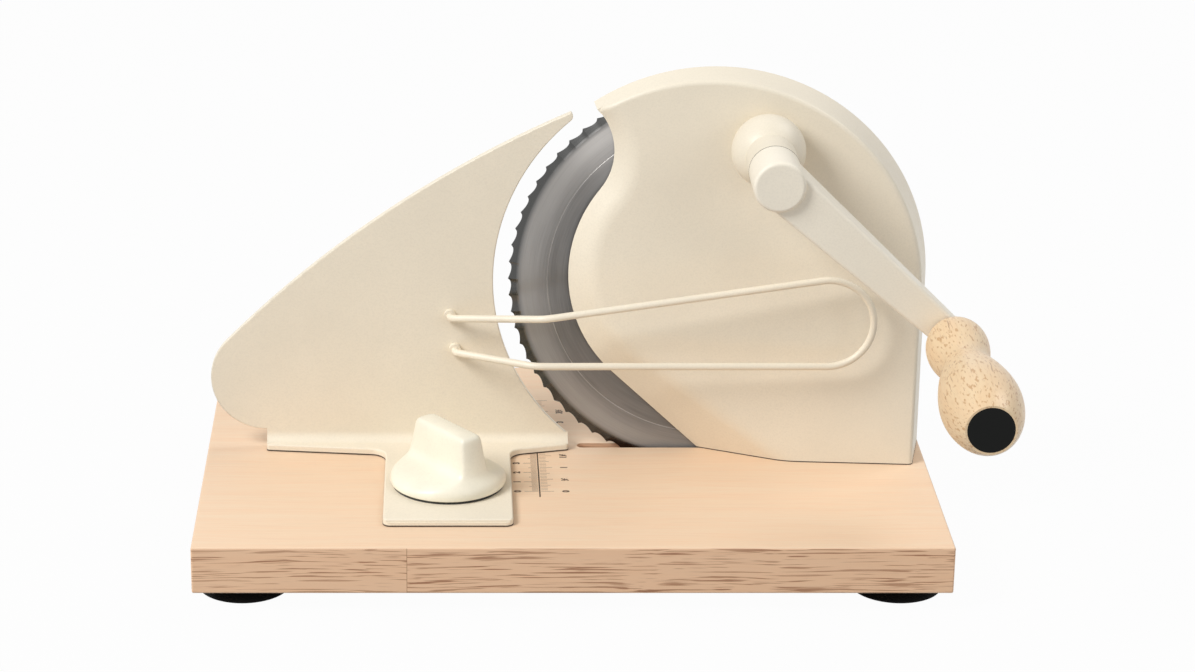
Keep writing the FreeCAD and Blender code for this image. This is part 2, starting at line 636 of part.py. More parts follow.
def drill_housing(shell):
    """Bores for the crank's bushes, the axle's stud and the screws."""
    bore = BUSH_RADIUS + FIXED_CLEARANCE
    flange = BUSH_FLANGE_RADIUS + RUNNING_CLEARANCE
    shell = shell.cut(rod_y(CRANK_AXIS_X, CRANK_AXIS_Z, bore, BOSS_FRONT_Y, BLADE_FRONT_Y))
    shell = shell.cut(rod_y(CRANK_AXIS_X, CRANK_AXIS_Z, flange, BOSS_FRONT_Y,
                            BOSS_FRONT_Y + BUSH_FLANGE_THICKNESS))
    shell = shell.cut(rod_y(CRANK_AXIS_X, CRANK_AXIS_Z, PINION_TIP_RADIUS + GEAR_ROOM_RADIAL,
                            rear_flange_front_y(), BLADE_FRONT_Y))
    stud_hole = AXLE_STUD_RADIUS + FIXED_CLEARANCE
    shell = shell.cut(rod_y(BLADE_AXIS_X, BLADE_AXIS_Z, stud_hole,
                            GEAR_FRONT_Y - TURNING_GAP - AXLE_STUD_LENGTH, GEAR_FRONT_Y))
    for x, y in housing_screw_places():
        shell = shell.cut(rod_z(x, y, HOUSING_SCREW_RADIUS + FIXED_CLEARANCE,
                                BOARD_TOP, BOARD_TOP + HOUSING_SCREW_GRIP))
    return shell


def rear_flange_front_y():
    """Depth of the seat that the rear bush's flange rests on."""
    return PINION_FRONT_Y - TURNING_GAP - BUSH_FLANGE_THICKNESS


def bush(flange_y0, flange_y1, body_y0, body_y1):
    """Flanged bush on the crank's axis."""
    sleeve = rod_y(CRANK_AXIS_X, CRANK_AXIS_Z, BUSH_RADIUS, body_y0, body_y1)
    sleeve = sleeve.fuse(rod_y(CRANK_AXIS_X, CRANK_AXIS_Z, BUSH_FLANGE_RADIUS, flange_y0, flange_y1))
    bore = rod_y(CRANK_AXIS_X, CRANK_AXIS_Z, CRANK_SHAFT_RADIUS + RUNNING_CLEARANCE, -BIG, BIG)
    return sleeve.cut(bore).removeSplitter()


def front_bush():
    """Bush in the mouth of the boss."""
    flange_back = BOSS_FRONT_Y + BUSH_FLANGE_THICKNESS
    return bush(BOSS_FRONT_Y, flange_back, flange_back, flange_back + BUSH_LENGTH)


def rear_bush():
    """Bush behind the front wall, which also takes the pinion's thrust."""
    seat = rear_flange_front_y()
    return bush(seat, seat + BUSH_FLANGE_THICKNESS, seat - BUSH_LENGTH, seat)


def blade():
    """Disc with a wavy edge, a bore for its bush and holes for its rivets."""
    step = 360.0 / BLADE_WAVES
    edges = []
    for wave in range(BLADE_WAVES):
        start = on_circle(BLADE_AXIS_X, BLADE_AXIS_Z, BLADE_RADIUS, wave * step)
        middle = on_circle(BLADE_AXIS_X, BLADE_AXIS_Z, BLADE_RADIUS - BLADE_WAVE_DEPTH,
                           (wave + 0.5) * step)
        end = on_circle(BLADE_AXIS_X, BLADE_AXIS_Z, BLADE_RADIUS, (wave + 1) * step)
        edges.append(arc(start, middle, end, BLADE_FRONT_Y))
    disc = prism(edges, BLADE_THICKNESS)
    disc = disc.cut(rod_y(BLADE_AXIS_X, BLADE_AXIS_Z, blade_bush_radius() + FIXED_CLEARANCE,
                          -BIG, BIG))
    for x, z in rivet_places():
        disc = disc.cut(rod_y(x, z, RIVET_RADIUS + FIXED_CLEARANCE, -BIG, BIG))
    return disc


def blade_bush_radius():
    """Outer radius of the bush in the blade and its gear."""
    return AXLE_RADIUS + BLADE_BUSH_WALL


def rivet_places():
    """Places of the rivets round the blade's axis."""
    step = 360.0 / RIVET_COUNT
    return [on_circle(BLADE_AXIS_X, BLADE_AXIS_Z, RIVET_CIRCLE_RADIUS, (i + 0.5) * step)
            for i in range(RIVET_COUNT)]


def involute_angle(base, radius):
    """How far, in radians, an involute has turned from its base circle at a radius."""
    if radius <= base:
        return 0.0
    ratio = math.sqrt((radius / base) ** 2 - 1)
    return ratio - math.atan(ratio)


def gear_blank(teeth, centre_x, centre_z, first_tooth, y, thickness):
    """Spur gear with involute flanks, one tooth centred on the given angle."""
    pitch = GEAR_MODULE * teeth / 2
    tip = pitch + GEAR_MODULE
    root = pitch - ROOT_FACTOR * GEAR_MODULE
    base = pitch * math.cos(math.radians(PRESSURE_ANGLE))
    half_pitch_tooth = math.pi / (2 * teeth) - TOOTH_BACKLASH / (4 * pitch)
    base_half = half_pitch_tooth + involute_angle(base, pitch)
    start = max(base, root)
    radii = [start + (tip - start) * share / 4 for share in range(5)]
    points = []
    for tooth in range(teeth):
        middle = math.radians(first_tooth) + 2 * math.pi * tooth / teeth
        rise = [(radius, middle - base_half + involute_angle(base, radius)) for radius in radii]
        fall = [(radius, 2 * middle - angle) for radius, angle in reversed(rise)]
        flank = rise + fall
        if root < base:
            flank = [(root, rise[0][1])] + flank + [(root, fall[-1][1])]
        points += flank
    corners = [Vector(centre_x + radius * math.cos(angle), y, centre_z + radius * math.sin(angle))
               for radius, angle in points]
    outline = Part.makePolygon(corners + corners[:1])
    return Part.Face(outline).extrude(Vector(0, thickness, 0))


def blade_gear():
    """Toothed wheel on the front of the blade, with a lightened web round its hub."""
    wheel = gear_blank(GEAR_TEETH, BLADE_AXIS_X, BLADE_AXIS_Z, CRANK_BEARING_ANGLE,
                       GEAR_FRONT_Y, GEAR_THICKNESS)
    hub = RIVET_CIRCLE_RADIUS + RIVET_HEAD_RADIUS * 2
    recess = rod_y(BLADE_AXIS_X, BLADE_AXIS_Z, GEAR_WEB_RADIUS, GEAR_FRONT_Y,
                   GEAR_FRONT_Y + GEAR_WEB_RECESS)
    recess = recess.cut(rod_y(BLADE_AXIS_X, BLADE_AXIS_Z, hub, -BIG, BIG))
    wheel = wheel.cut(recess)
    wheel = wheel.cut(rod_y(BLADE_AXIS_X, BLADE_AXIS_Z, blade_bush_radius() + FIXED_CLEARANCE,
                            -BIG, BIG))
    for x, z in rivet_places():
        wheel = wheel.cut(rod_y(x, z, RIVET_RADIUS + FIXED_CLEARANCE, -BIG, BIG))
        wheel = wheel.cut(rod_y(x, z, RIVET_HEAD_RADIUS + SLIDING_CLEARANCE, GEAR_FRONT_Y,
                                GEAR_FRONT_Y + RIVET_HEAD_HEIGHT))
    return wheel


def blade_bush():
    """Plain bush that the blade and its gear turn on."""
    front = GEAR_FRONT_Y
    sleeve = rod_y(BLADE_AXIS_X, BLADE_AXIS_Z, blade_bush_radius(), front, BLADE_BACK_Y)
    bore = AXLE_RADIUS + RUNNING_CLEARANCE
    return sleeve.cut(rod_y(BLADE_AXIS_X, BLADE_AXIS_Z, bore, -BIG, BIG))


def blade_axle():
    """Shouldered axle screwed into the housing, with a coin slot in its flat head."""
    shoulder = GEAR_FRONT_Y - TURNING_GAP
    head_front = BLADE_BACK_Y + TURNING_GAP
    head_back = head_front + AXLE_HEAD_THICKNESS
    axle = rod_y(BLADE_AXIS_X, BLADE_AXIS_Z, AXLE_STUD_RADIUS, shoulder - AXLE_STUD_LENGTH, shoulder)
    axle = axle.fuse(rod_y(BLADE_AXIS_X, BLADE_AXIS_Z, AXLE_RADIUS, shoulder, head_front))
    axle = axle.fuse(rod_y(BLADE_AXIS_X, BLADE_AXIS_Z, AXLE_HEAD_RADIUS, head_front, head_back))
    slot = block(BLADE_AXIS_X - BIG, BLADE_AXIS_X + BIG, head_back - COIN_SLOT_DEPTH, head_back,
                 BLADE_AXIS_Z - COIN_SLOT_WIDTH / 2, BLADE_AXIS_Z + COIN_SLOT_WIDTH / 2)
    return axle.cut(slot).removeSplitter()


def blade_rivets():
    """Rivets that hold the gear to the blade, flat on both faces."""
    rivets = []
    for x, z in rivet_places():
        rivet = rod_y(x, z, RIVET_RADIUS, GEAR_FRONT_Y, BLADE_BACK_Y + RIVET_HEAD_HEIGHT)
        rivet = rivet.fuse(rod_y(x, z, RIVET_HEAD_RADIUS, GEAR_FRONT_Y,
                                 GEAR_FRONT_Y + RIVET_HEAD_HEIGHT))
        rivet = rivet.fuse(rod_y(x, z, RIVET_HEAD_RADIUS, BLADE_BACK_Y,
                                 BLADE_BACK_Y + RIVET_HEAD_HEIGHT))
        rivets.append(rivet.removeSplitter())
    return Part.makeCompound(rivets)


def crank_pinion():
    """Small gear at the inner end of the crank's shaft, one gap facing the blade's axis."""
    towards_blade = CRANK_BEARING_ANGLE + 180
    first_tooth = towards_blade + 180.0 / PINION_TEETH
    pinion = gear_blank(PINION_TEETH, CRANK_AXIS_X, CRANK_AXIS_Z, first_tooth,
                        PINION_FRONT_Y, PINION_THICKNESS)
    bore = CRANK_SHAFT_RADIUS + FIXED_CLEARANCE
    return pinion.cut(rod_y(CRANK_AXIS_X, CRANK_AXIS_Z, bore, -BIG, BIG))


def hub_web_back_y():
    """Depth at which the hub's web stops the shaft."""
    return HUB_FRONT_Y + HUB_SCREW_POCKET_DEPTH + HUB_WEB_THICKNESS


def crank_shaft():
    """Shaft through the boss, tapped at the front for the crank's screw."""
    shaft = rod_y(CRANK_AXIS_X, CRANK_AXIS_Z, CRANK_SHAFT_RADIUS, hub_web_back_y(),
                  PINION_FRONT_Y + PINION_THICKNESS)
    tapped = rod_y(CRANK_AXIS_X, CRANK_AXIS_Z, CRANK_SCREW_RADIUS + FIXED_CLEARANCE,
                   hub_web_back_y(), hub_web_back_y() + CRANK_SCREW_GRIP)
    return shaft.cut(tapped)


def crank_screw():
    """Screw that holds the arm on the shaft."""
    seat = HUB_FRONT_Y + HUB_SCREW_POCKET_DEPTH
    head = rod_y(CRANK_AXIS_X, CRANK_AXIS_Z, CRANK_SCREW_HEAD_RADIUS,
                 seat - CRANK_SCREW_HEAD_HEIGHT, seat)
    shank = rod_y(CRANK_AXIS_X, CRANK_AXIS_Z, CRANK_SCREW_RADIUS, seat,
                  hub_web_back_y() + CRANK_SCREW_GRIP)
    return head.fuse(shank).removeSplitter()


def crank_cap():
    """Round cover over the crank's screw, with a soft front edge."""
    front = HUB_FRONT_Y - HUB_CAP_THICKNESS
    disc = rod_y(CRANK_AXIS_X, CRANK_AXIS_Z, HUB_RADIUS, front, HUB_FRONT_Y)
    return rounded(disc, HUB_CAP_ROUND, lambda edge: abs(edge.BoundBox.YMax - front) < 0.01)


def arm_section(along, width, depth):
    """Cross section of the arm, square to its length, before it is turned to its rest angle."""
    back = ARM_FRONT_Y + depth
    half = width / 2
    corners = [Vector(along, ARM_FRONT_Y, -half), Vector(along, back, -half),
               Vector(along, back, half), Vector(along, ARM_FRONT_Y, half)]
    return Part.makePolygon(corners + corners[:1])


def crank_arm():
    """Tapering bar between the hub on the shaft and the eye that carries the handle."""
    bar = Part.makeLoft([arm_section(0, ARM_ROOT_WIDTH, ARM_ROOT_DEPTH),
                         arm_section(CRANK_LENGTH, ARM_TIP_WIDTH, ARM_TIP_DEPTH)], True, True)
    bar = rounded(bar, ARM_EDGE_ROUND, lambda edge: edge.Length > CRANK_LENGTH / 2)
    eye = rod_y(CRANK_LENGTH, 0, ARM_EYE_RADIUS, ARM_FRONT_Y, ARM_FRONT_Y + ARM_TIP_DEPTH)
    arm = bar.fuse(eye)
    arm.rotate(Vector(0, 0, 0), Vector(0, 1, 0), -CRANK_REST_ANGLE)
    arm.translate(Vector(CRANK_AXIS_X, 0, CRANK_AXIS_Z))
    hub_back = BOSS_FRONT_Y - TURNING_GAP
    arm = arm.fuse(rod_y(CRANK_AXIS_X, CRANK_AXIS_Z, HUB_RADIUS, HUB_FRONT_Y, hub_back))
    shaft_hole = CRANK_SHAFT_RADIUS + FIXED_CLEARANCE
    arm = arm.cut(rod_y(CRANK_AXIS_X, CRANK_AXIS_Z, shaft_hole, hub_web_back_y(), 0))
    arm = arm.cut(rod_y(CRANK_AXIS_X, CRANK_AXIS_Z, CRANK_SCREW_RADIUS + FIXED_CLEARANCE,
                        HUB_FRONT_Y, 0))
    arm = arm.cut(rod_y(CRANK_AXIS_X, CRANK_AXIS_Z, HUB_SCREW_POCKET_RADIUS, HUB_FRONT_Y,
                        HUB_FRONT_Y + HUB_SCREW_POCKET_DEPTH))
    arm = arm.cut(rod_y(HANDLE_AXIS_X, HANDLE_AXIS_Z, SPINDLE_RADIUS + FIXED_CLEARANCE, -BIG, 0))
    arm = arm.cut(rod_y(HANDLE_AXIS_X, HANDLE_AXIS_Z, SPINDLE_RIVET_RADIUS + SLIDING_CLEARANCE,
                        ARM_FRONT_Y + ARM_TIP_DEPTH, 0))
    return arm.removeSplitter()


def handle_spindle():
    """Pin that the handle turns on, with a flat head and a riveted tail behind the arm."""
    arm_back = ARM_FRONT_Y + ARM_TIP_DEPTH
    head_back = HANDLE_FRONT_Y + HANDLE_POCKET_DEPTH - SPINDLE_WASHER_THICKNESS - HANDLE_GAP
    pin = rod_y(HANDLE_AXIS_X, HANDLE_AXIS_Z, SPINDLE_RADIUS, head_back, arm_back)
    pin = pin.fuse(rod_y(HANDLE_AXIS_X, HANDLE_AXIS_Z, SPINDLE_HEAD_RADIUS,
                         head_back - SPINDLE_HEAD_THICKNESS, head_back))
    pin = pin.fuse(rod_y(HANDLE_AXIS_X, HANDLE_AXIS_Z, SPINDLE_RIVET_RADIUS, arm_back,
                         arm_back + SPINDLE_RIVET_THICKNESS))
    return pin.removeSplitter()


def spindle_washers():
    """Washer behind the handle and washer under the spindle's head."""
    head_back = HANDLE_FRONT_Y + HANDLE_POCKET_DEPTH - SPINDLE_WASHER_THICKNESS - HANDLE_GAP
    washers = []
    for start in (ARM_FRONT_Y - SPINDLE_WASHER_THICKNESS, head_back):
        washer = rod_y(HANDLE_AXIS_X, HANDLE_AXIS_Z, SPINDLE_WASHER_RADIUS, start,
                       start + SPINDLE_WASHER_THICKNESS)
        hole = rod_y(HANDLE_AXIS_X, HANDLE_AXIS_Z, SPINDLE_RADIUS + FIXED_CLEARANCE, -BIG, 0)
        washers.append(washer.cut(hole))
    return Part.makeCompound(washers)


def handle_profile():
    """Places along the handle, from its back end, as share of its length and radius."""
    return [(0.0, HANDLE_WAIST_RADIUS), (0.06, HANDLE_COLLAR_RADIUS * 0.96),
            (0.135, HANDLE_COLLAR_RADIUS), (0.225, HANDLE_COLLAR_RADIUS * 0.9),
            (0.315, HANDLE_WAIST_RADIUS), (0.45, HANDLE_BELLY_RADIUS * 0.74),
            (0.60, HANDLE_BELLY_RADIUS * 0.92), (0.76, HANDLE_BELLY_RADIUS),
            (0.88, HANDLE_BELLY_RADIUS * 0.91), (0.965, HANDLE_BELLY_RADIUS * 0.74),
            (1.0, HANDLE_END_RADIUS)]


def handle_grip():
    """Turned wooden grip with a collar, a waist and a belly, bored for its spindle."""
    points = [Vector(radius, HANDLE_BACK_Y - share * HANDLE_LENGTH, 0)
              for share, radius in handle_profile()]
    outside = Part.BSplineCurve()
    outside.interpolate(points)
    edges = [outside.toShape(),
             profile_line((HANDLE_END_RADIUS, HANDLE_FRONT_Y), (0, HANDLE_FRONT_Y)),
             profile_line((0, HANDLE_FRONT_Y), (0, HANDLE_BACK_Y)),
             profile_line((0, HANDLE_BACK_Y), (HANDLE_WAIST_RADIUS, HANDLE_BACK_Y))]
    grip = turned_y(edges, HANDLE_AXIS_X, HANDLE_AXIS_Z)
    grip = grip.cut(rod_y(HANDLE_AXIS_X, HANDLE_AXIS_Z, SPINDLE_RADIUS + RUNNING_CLEARANCE, -BIG, 0))
    grip = grip.cut(rod_y(HANDLE_AXIS_X, HANDLE_AXIS_Z, HANDLE_POCKET_RADIUS, HANDLE_FRONT_Y,
                          HANDLE_FRONT_Y + HANDLE_POCKET_DEPTH))
    return grip.cut(rod_y(HANDLE_AXIS_X, HANDLE_AXIS_Z, HANDLE_CAP_RADIUS + FIXED_CLEARANCE,
                          HANDLE_FRONT_Y, HANDLE_FRONT_Y + HANDLE_CAP_THICKNESS))


def handle_end_cap():
    """Black plug that closes the handle's front end."""
    seat = HANDLE_FRONT_Y + HANDLE_CAP_THICKNESS
    cap = rod_y(HANDLE_AXIS_X, HANDLE_AXIS_Z, HANDLE_CAP_RADIUS, HANDLE_FRONT_Y, seat)
    plug_end = seat + HANDLE_CAP_PLUG_LENGTH
    plug = rod_y(HANDLE_AXIS_X, HANDLE_AXIS_Z, HANDLE_POCKET_RADIUS - FIXED_CLEARANCE, seat, plug_end)
    return cap.fuse(plug).removeSplitter()


def fence_outline(y):
    """Front view outline of the fence plate: long slope, round nose, arc beside the blade."""
    bottom = FENCE_BOTTOM
    tip_low, tip_high = fence_tip()
    slope_x, slope_z = fence_slope_centre()
    tip_middle = (FENCE_TIP_X + FENCE_TIP_ROUND, (tip_low[1] + tip_high[1]) / 2)
    to_nose = math.degrees(math.atan2(FENCE_NOSE_Z - slope_z, FENCE_NOSE_X - slope_x))
    to_tip = math.degrees(math.atan2(tip_high[1] - slope_z, tip_high[0] - slope_x))
    shoulder = on_circle(slope_x, slope_z, FENCE_SLOPE_RADIUS, to_nose)
    slope_middle = on_circle(slope_x, slope_z, FENCE_SLOPE_RADIUS, (to_nose + to_tip) / 2)
    drop = math.sqrt(FENCE_NOSE_RADIUS ** 2 - (FENCE_STEP_X - FENCE_NOSE_X) ** 2)
    heel = (FENCE_STEP_X, FENCE_NOSE_Z - drop)
    nose_middle = on_circle(FENCE_NOSE_X, FENCE_NOSE_Z, FENCE_NOSE_RADIUS, (to_nose + 270) / 2)
    left_bottom = (FENCE_STEP_X, bottom)
    right_bottom = (FENCE_RIGHT_X, bottom)
    right_top = (FENCE_RIGHT_X, BOARD_TOP + FENCE_TOE_HEIGHT)
    arc_middle = on_circle(BLADE_AXIS_X, BLADE_AXIS_Z, FENCE_ARC_RADIUS, 180)
    return [arc(shoulder, nose_middle, heel, y), line(heel, left_bottom, y),
            line(left_bottom, right_bottom, y), line(right_bottom, right_top, y),
            arc(right_top, arc_middle, tip_low, y), arc(tip_low, tip_middle, tip_high, y),
            arc(tip_high, slope_middle, shoulder, y)]


def fence_tip():
    """Lower and upper end of the plate's blunt tip above the blade."""
    rise = math.sqrt(FENCE_ARC_RADIUS ** 2 - (BLADE_AXIS_X - FENCE_TIP_X) ** 2)
    low = BLADE_AXIS_Z + rise
    return (FENCE_TIP_X, low), (FENCE_TIP_X, low + FENCE_TIP_HEIGHT)


def fence_slope_centre():
    """Centre of the long slope's circle, which wraps the nose and ends at the tip."""
    high = fence_tip()[1]
    return circles_meet(FENCE_NOSE_X, FENCE_NOSE_Z, FENCE_SLOPE_RADIUS - FENCE_NOSE_RADIUS,
                        high[0], high[1], FENCE_SLOPE_RADIUS)


def foot_plate_outline():
    """Plan outline of the fence's foot and tongue."""
    left = TONGUE_CENTRE_X - TONGUE_WIDTH / 2
    right = TONGUE_CENTRE_X + TONGUE_WIDTH / 2
    return [(FENCE_STEP_X, FENCE_BACK_Y), (FENCE_STEP_X, FOOT_PLATE_LEFT_Y),
            (left, FOOT_PLATE_WAIST_Y), (left, TONGUE_FRONT_Y), (right, TONGUE_FRONT_Y),
            (right, FOOT_PLATE_WAIST_Y), (FENCE_RIGHT_X, FOOT_PLATE_RIGHT_Y),
            (FENCE_RIGHT_X, FENCE_BACK_Y)]


def fence_plate():
    """Upright plate and flat foot in one piece, with a cove between them."""
    plate = prism(fence_outline(FENCE_FRONT_Y), FENCE_THICKNESS)
    foot = plan_prism(foot_plate_outline(), FENCE_BOTTOM, FOOT_PLATE_THICKNESS)
    up = Vector(0, 0, 1)
    foot = rounded(foot, TONGUE_NECK_ROUND, lambda edge: runs_along(edge, up) and
                   abs(edge.BoundBox.YMin - FOOT_PLATE_WAIST_Y) < 0.01)
    foot = rounded(foot, TONGUE_CORNER_ROUND, lambda edge: runs_along(edge, up) and
                   abs(edge.BoundBox.YMin - TONGUE_FRONT_Y) < 0.01)
    foot = rounded(foot, FOOT_PLATE_END_ROUND, lambda edge: runs_along(edge, up) and
                   edge.BoundBox.YMin > FOOT_PLATE_LEFT_Y - 1 and
                   edge.BoundBox.YMin < FOOT_PLATE_RIGHT_Y + 1)
    foot = foot.cut(tongue_ledge())
    foot = rounded(foot, FOOT_PLATE_EDGE_ROUND, in_foot_rim)
    fence = rounded(plate, FENCE_EDGE_ROUND, in_plate_rim).fuse(foot).fuse(fence_cove())
    stud_hole = STUD_RADIUS + SLIDING_CLEARANCE
    fence = fence.cut(rod_z(TONGUE_CENTRE_X, CLAMP_Y, stud_hole, FENCE_BOTTOM, FOOT_PLATE_TOP))
    return fence.removeSplitter()


def tongue_ledge():
    """Material cut away above the thin ledge along the tongue's front."""
    half = TONGUE_WIDTH / 2
    return block(TONGUE_CENTRE_X - half, TONGUE_CENTRE_X + half, TONGUE_FRONT_Y,
                 TONGUE_FRONT_Y + TONGUE_LEDGE, FOOT_PLATE_TOP - TONGUE_LEDGE_DROP,
                 FOOT_PLATE_TOP + 1)


def in_foot_rim(edge):
    """True for an edge round the top of the foot and tongue that stays in view."""
    box = edge.BoundBox
    return box.ZMin > FOOT_PLATE_TOP - 0.01 and box.YMin < FOOT_PLATE_RIGHT_Y + 1


def in_plate_rim(edge):
    """True for a front edge of the plate that lies above its foot."""
    box = edge.BoundBox
    return box.YMax < FENCE_FRONT_Y + 0.01 and box.ZMax > BOARD_TOP + FENCE_TOE_HEIGHT + 1


def fence_cove():
    """Hollow rounded corner between the plate and its foot."""
    cove = block(FENCE_STEP_X, FENCE_RIGHT_X, FENCE_FRONT_Y - FOOT_PLATE_COVE, FENCE_FRONT_Y,
                 FOOT_PLATE_TOP, FOOT_PLATE_TOP + FOOT_PLATE_COVE)
    hollow = Part.makeCylinder(FOOT_PLATE_COVE, BIG,
                               Vector(FENCE_STEP_X - 1, FENCE_FRONT_Y - FOOT_PLATE_COVE,
                                      FOOT_PLATE_TOP + FOOT_PLATE_COVE), Vector(1, 0, 0))
    return cove.cut(hollow)


def clamp_knob():
    """Round base that shoulders up into a wedge shaped grip, bored for its stud."""
    top = KNOB_BOTTOM + KNOB_HEIGHT
    shoulder = KNOB_BOTTOM + KNOB_SHOULDER_HEIGHT
    crown = (KNOB_SHOULDER_RADIUS / 2, shoulder + KNOB_SKIRT_HEIGHT / 2)
    base = turned_z([(0, KNOB_BOTTOM), (KNOB_RADIUS, KNOB_BOTTOM),
                     (KNOB_RADIUS, KNOB_BOTTOM + KNOB_SKIRT_HEIGHT / 2),
                     (KNOB_SHOULDER_RADIUS, KNOB_BOTTOM + KNOB_SKIRT_HEIGHT),
                     (KNOB_SHOULDER_RADIUS * 0.85, shoulder), crown, (0, crown[1])], 0, 0)
    grip = Part.makeLoft([grip_section(KNOB_BOTTOM + KNOB_SKIRT_HEIGHT / 2, GRIP_ROOT_LENGTH,
                                       GRIP_ROOT_WIDTH),
                          grip_section(top, GRIP_TOP_LENGTH, GRIP_TOP_WIDTH)], True, True)
    grip = grip.makeFillet(GRIP_ROUND, [edge for edge in grip.Edges
                                        if edge.BoundBox.ZMax > top - 0.01])
    knob = base.fuse(grip)
    knob.rotate(Vector(0, 0, 0), Vector(0, 0, 1), KNOB_TURN)
    knob.translate(Vector(TONGUE_CENTRE_X, CLAMP_Y, 0))
    hole = rod_z(TONGUE_CENTRE_X, CLAMP_Y, STUD_RADIUS + FIXED_CLEARANCE, KNOB_BOTTOM,
                 KNOB_BOTTOM + STUD_DEPTH_IN_KNOB)
    return knob.cut(hole).removeSplitter()


def grip_section(z, length, width):
    """Level section of the knob's grip."""
    corners = [Vector(-length / 2, -width / 2, z), Vector(length / 2, -width / 2, z),
               Vector(length / 2, width / 2, z), Vector(-length / 2, width / 2, z)]
    return Part.makePolygon(corners + corners[:1])


def clamp_washer():
    """Dark washer that the knob turns on."""
    washer = rod_z(TONGUE_CENTRE_X, CLAMP_Y, WASHER_RADIUS, FOOT_PLATE_TOP,
                   KNOB_BOTTOM - RUNNING_CLEARANCE)
    hole = rod_z(TONGUE_CENTRE_X, CLAMP_Y, STUD_RADIUS + SLIDING_CLEARANCE, 0, KNOB_BOTTOM)
    return washer.cut(hole)


def clamp_stud():
    """Threaded stud fixed in the knob and screwed through the nut plate."""
    bottom = NUT_PLATE_TOP - NUT_PLATE_THICKNESS - STUD_RADIUS / 2
    return rod_z(TONGUE_CENTRE_X, CLAMP_Y, STUD_RADIUS, bottom, KNOB_BOTTOM + STUD_DEPTH_IN_KNOB)


def clamp_nut_plate():
    """Square nut plate in the channel under the board."""
    half = NUT_PLATE_SIZE / 2
    plate = block(TONGUE_CENTRE_X - half, TONGUE_CENTRE_X + half, CLAMP_Y - half, CLAMP_Y + half,
                  NUT_PLATE_TOP - NUT_PLATE_THICKNESS, NUT_PLATE_TOP)
    hole = rod_z(TONGUE_CENTRE_X, CLAMP_Y, STUD_RADIUS + RUNNING_CLEARANCE, 0, BOARD_TOP)
    return plate.cut(hole)


def fence_guide():
    """Key under the tongue that keeps the fence square in the board's slot."""
    half_width = GUIDE_WIDTH / 2
    half_length = GUIDE_LENGTH / 2
    key = block(TONGUE_CENTRE_X - half_width, TONGUE_CENTRE_X + half_width,
                CLAMP_Y - half_length, CLAMP_Y + half_length,
                FENCE_BOTTOM - GUIDE_HEIGHT, FENCE_BOTTOM)
    hole = rod_z(TONGUE_CENTRE_X, CLAMP_Y, STUD_RADIUS + SLIDING_CLEARANCE, 0, BOARD_TOP + BIG)
    return key.cut(hole)


def bend(a, b, c, radius):
    """Start, middle and end of the arc that rounds the corner b."""
    to_a = (a - b).normalize()
    to_c = (c - b).normalize()
    half = math.acos(max(-1.0, min(1.0, to_a.dot(to_c)))) / 2
    cut = radius / math.tan(half)
    out = (to_a + to_c).normalize()
    centre = b + out * (radius / math.sin(half))
    return b + to_a * cut, centre - out * radius, b + to_c * cut


def guard_path():
    """Centre line of the wire: end, standoff, upper run, round end, lower run, standoff, end."""
    rise = math.radians(WIRE_UPPER_SLOPE)
    top = on_circle(WIRE_LOOP_X, WIRE_LOOP_Z, WIRE_LOOP_RADIUS, 90 + WIRE_UPPER_SLOPE)
    bottom = (WIRE_LOOP_X, WIRE_LOOP_Z - WIRE_LOOP_RADIUS)
    far = on_circle(WIRE_LOOP_X, WIRE_LOOP_Z, WIRE_LOOP_RADIUS, WIRE_UPPER_SLOPE / 2)
    upper_run = top[0] - WIRE_UPPER_END_X - WIRE_UPPER_BEND_RUN
    upper_z = top[1] - upper_run * math.tan(rise)
    standoff = FENCE_FRONT_Y - WIRE_STANDOFF
    upper = [Vector(WIRE_UPPER_END_X, FENCE_FRONT_Y, WIRE_UPPER_END_Z),
             Vector(WIRE_UPPER_END_X, standoff, WIRE_UPPER_END_Z),
             Vector(WIRE_UPPER_END_X + WIRE_UPPER_BEND_RUN, WIRE_PLANE_Y, upper_z),
             Vector(top[0], WIRE_PLANE_Y, top[1])]
    lower = [Vector(bottom[0], WIRE_PLANE_Y, bottom[1]),
             Vector(WIRE_LOWER_END_X + WIRE_LOWER_BEND_RUN, WIRE_PLANE_Y, bottom[1]),
             Vector(WIRE_LOWER_END_X, standoff, WIRE_LOWER_END_Z),
             Vector(WIRE_LOWER_END_X, FENCE_FRONT_Y, WIRE_LOWER_END_Z)]
    edges = bent_run(upper, (WIRE_TIGHT_BEND, WIRE_WIDE_BEND))
    edges.append(Part.Arc(upper[-1], Vector(far[0], WIRE_PLANE_Y, far[1]), lower[0]).toShape())
    return edges + bent_run(lower, (WIRE_WIDE_BEND, WIRE_TIGHT_BEND))


def bent_run(points, radii):
    """Straight runs through four points with both inner corners rounded."""
    edges = []
    start = points[0]
    for i, radius in enumerate(radii):
        first, middle, last = bend(points[i], points[i + 1], points[i + 2], radius)
        edges.append(Part.LineSegment(start, first).toShape())
        edges.append(Part.Arc(first, middle, last).toShape())
        start = last
    edges.append(Part.LineSegment(start, points[-1]).toShape())
    return edges


def wire_guard():
    """Bent wire loop that keeps the slice beside the blade."""
    path = guard_path()
    start = path[0].valueAt(path[0].FirstParameter)
    circle = Part.Wire(Part.makeCircle(WIRE_RADIUS, start, Vector(0, 1, 0)))
    return Part.Wire(path).makePipeShell([circle], True, False)


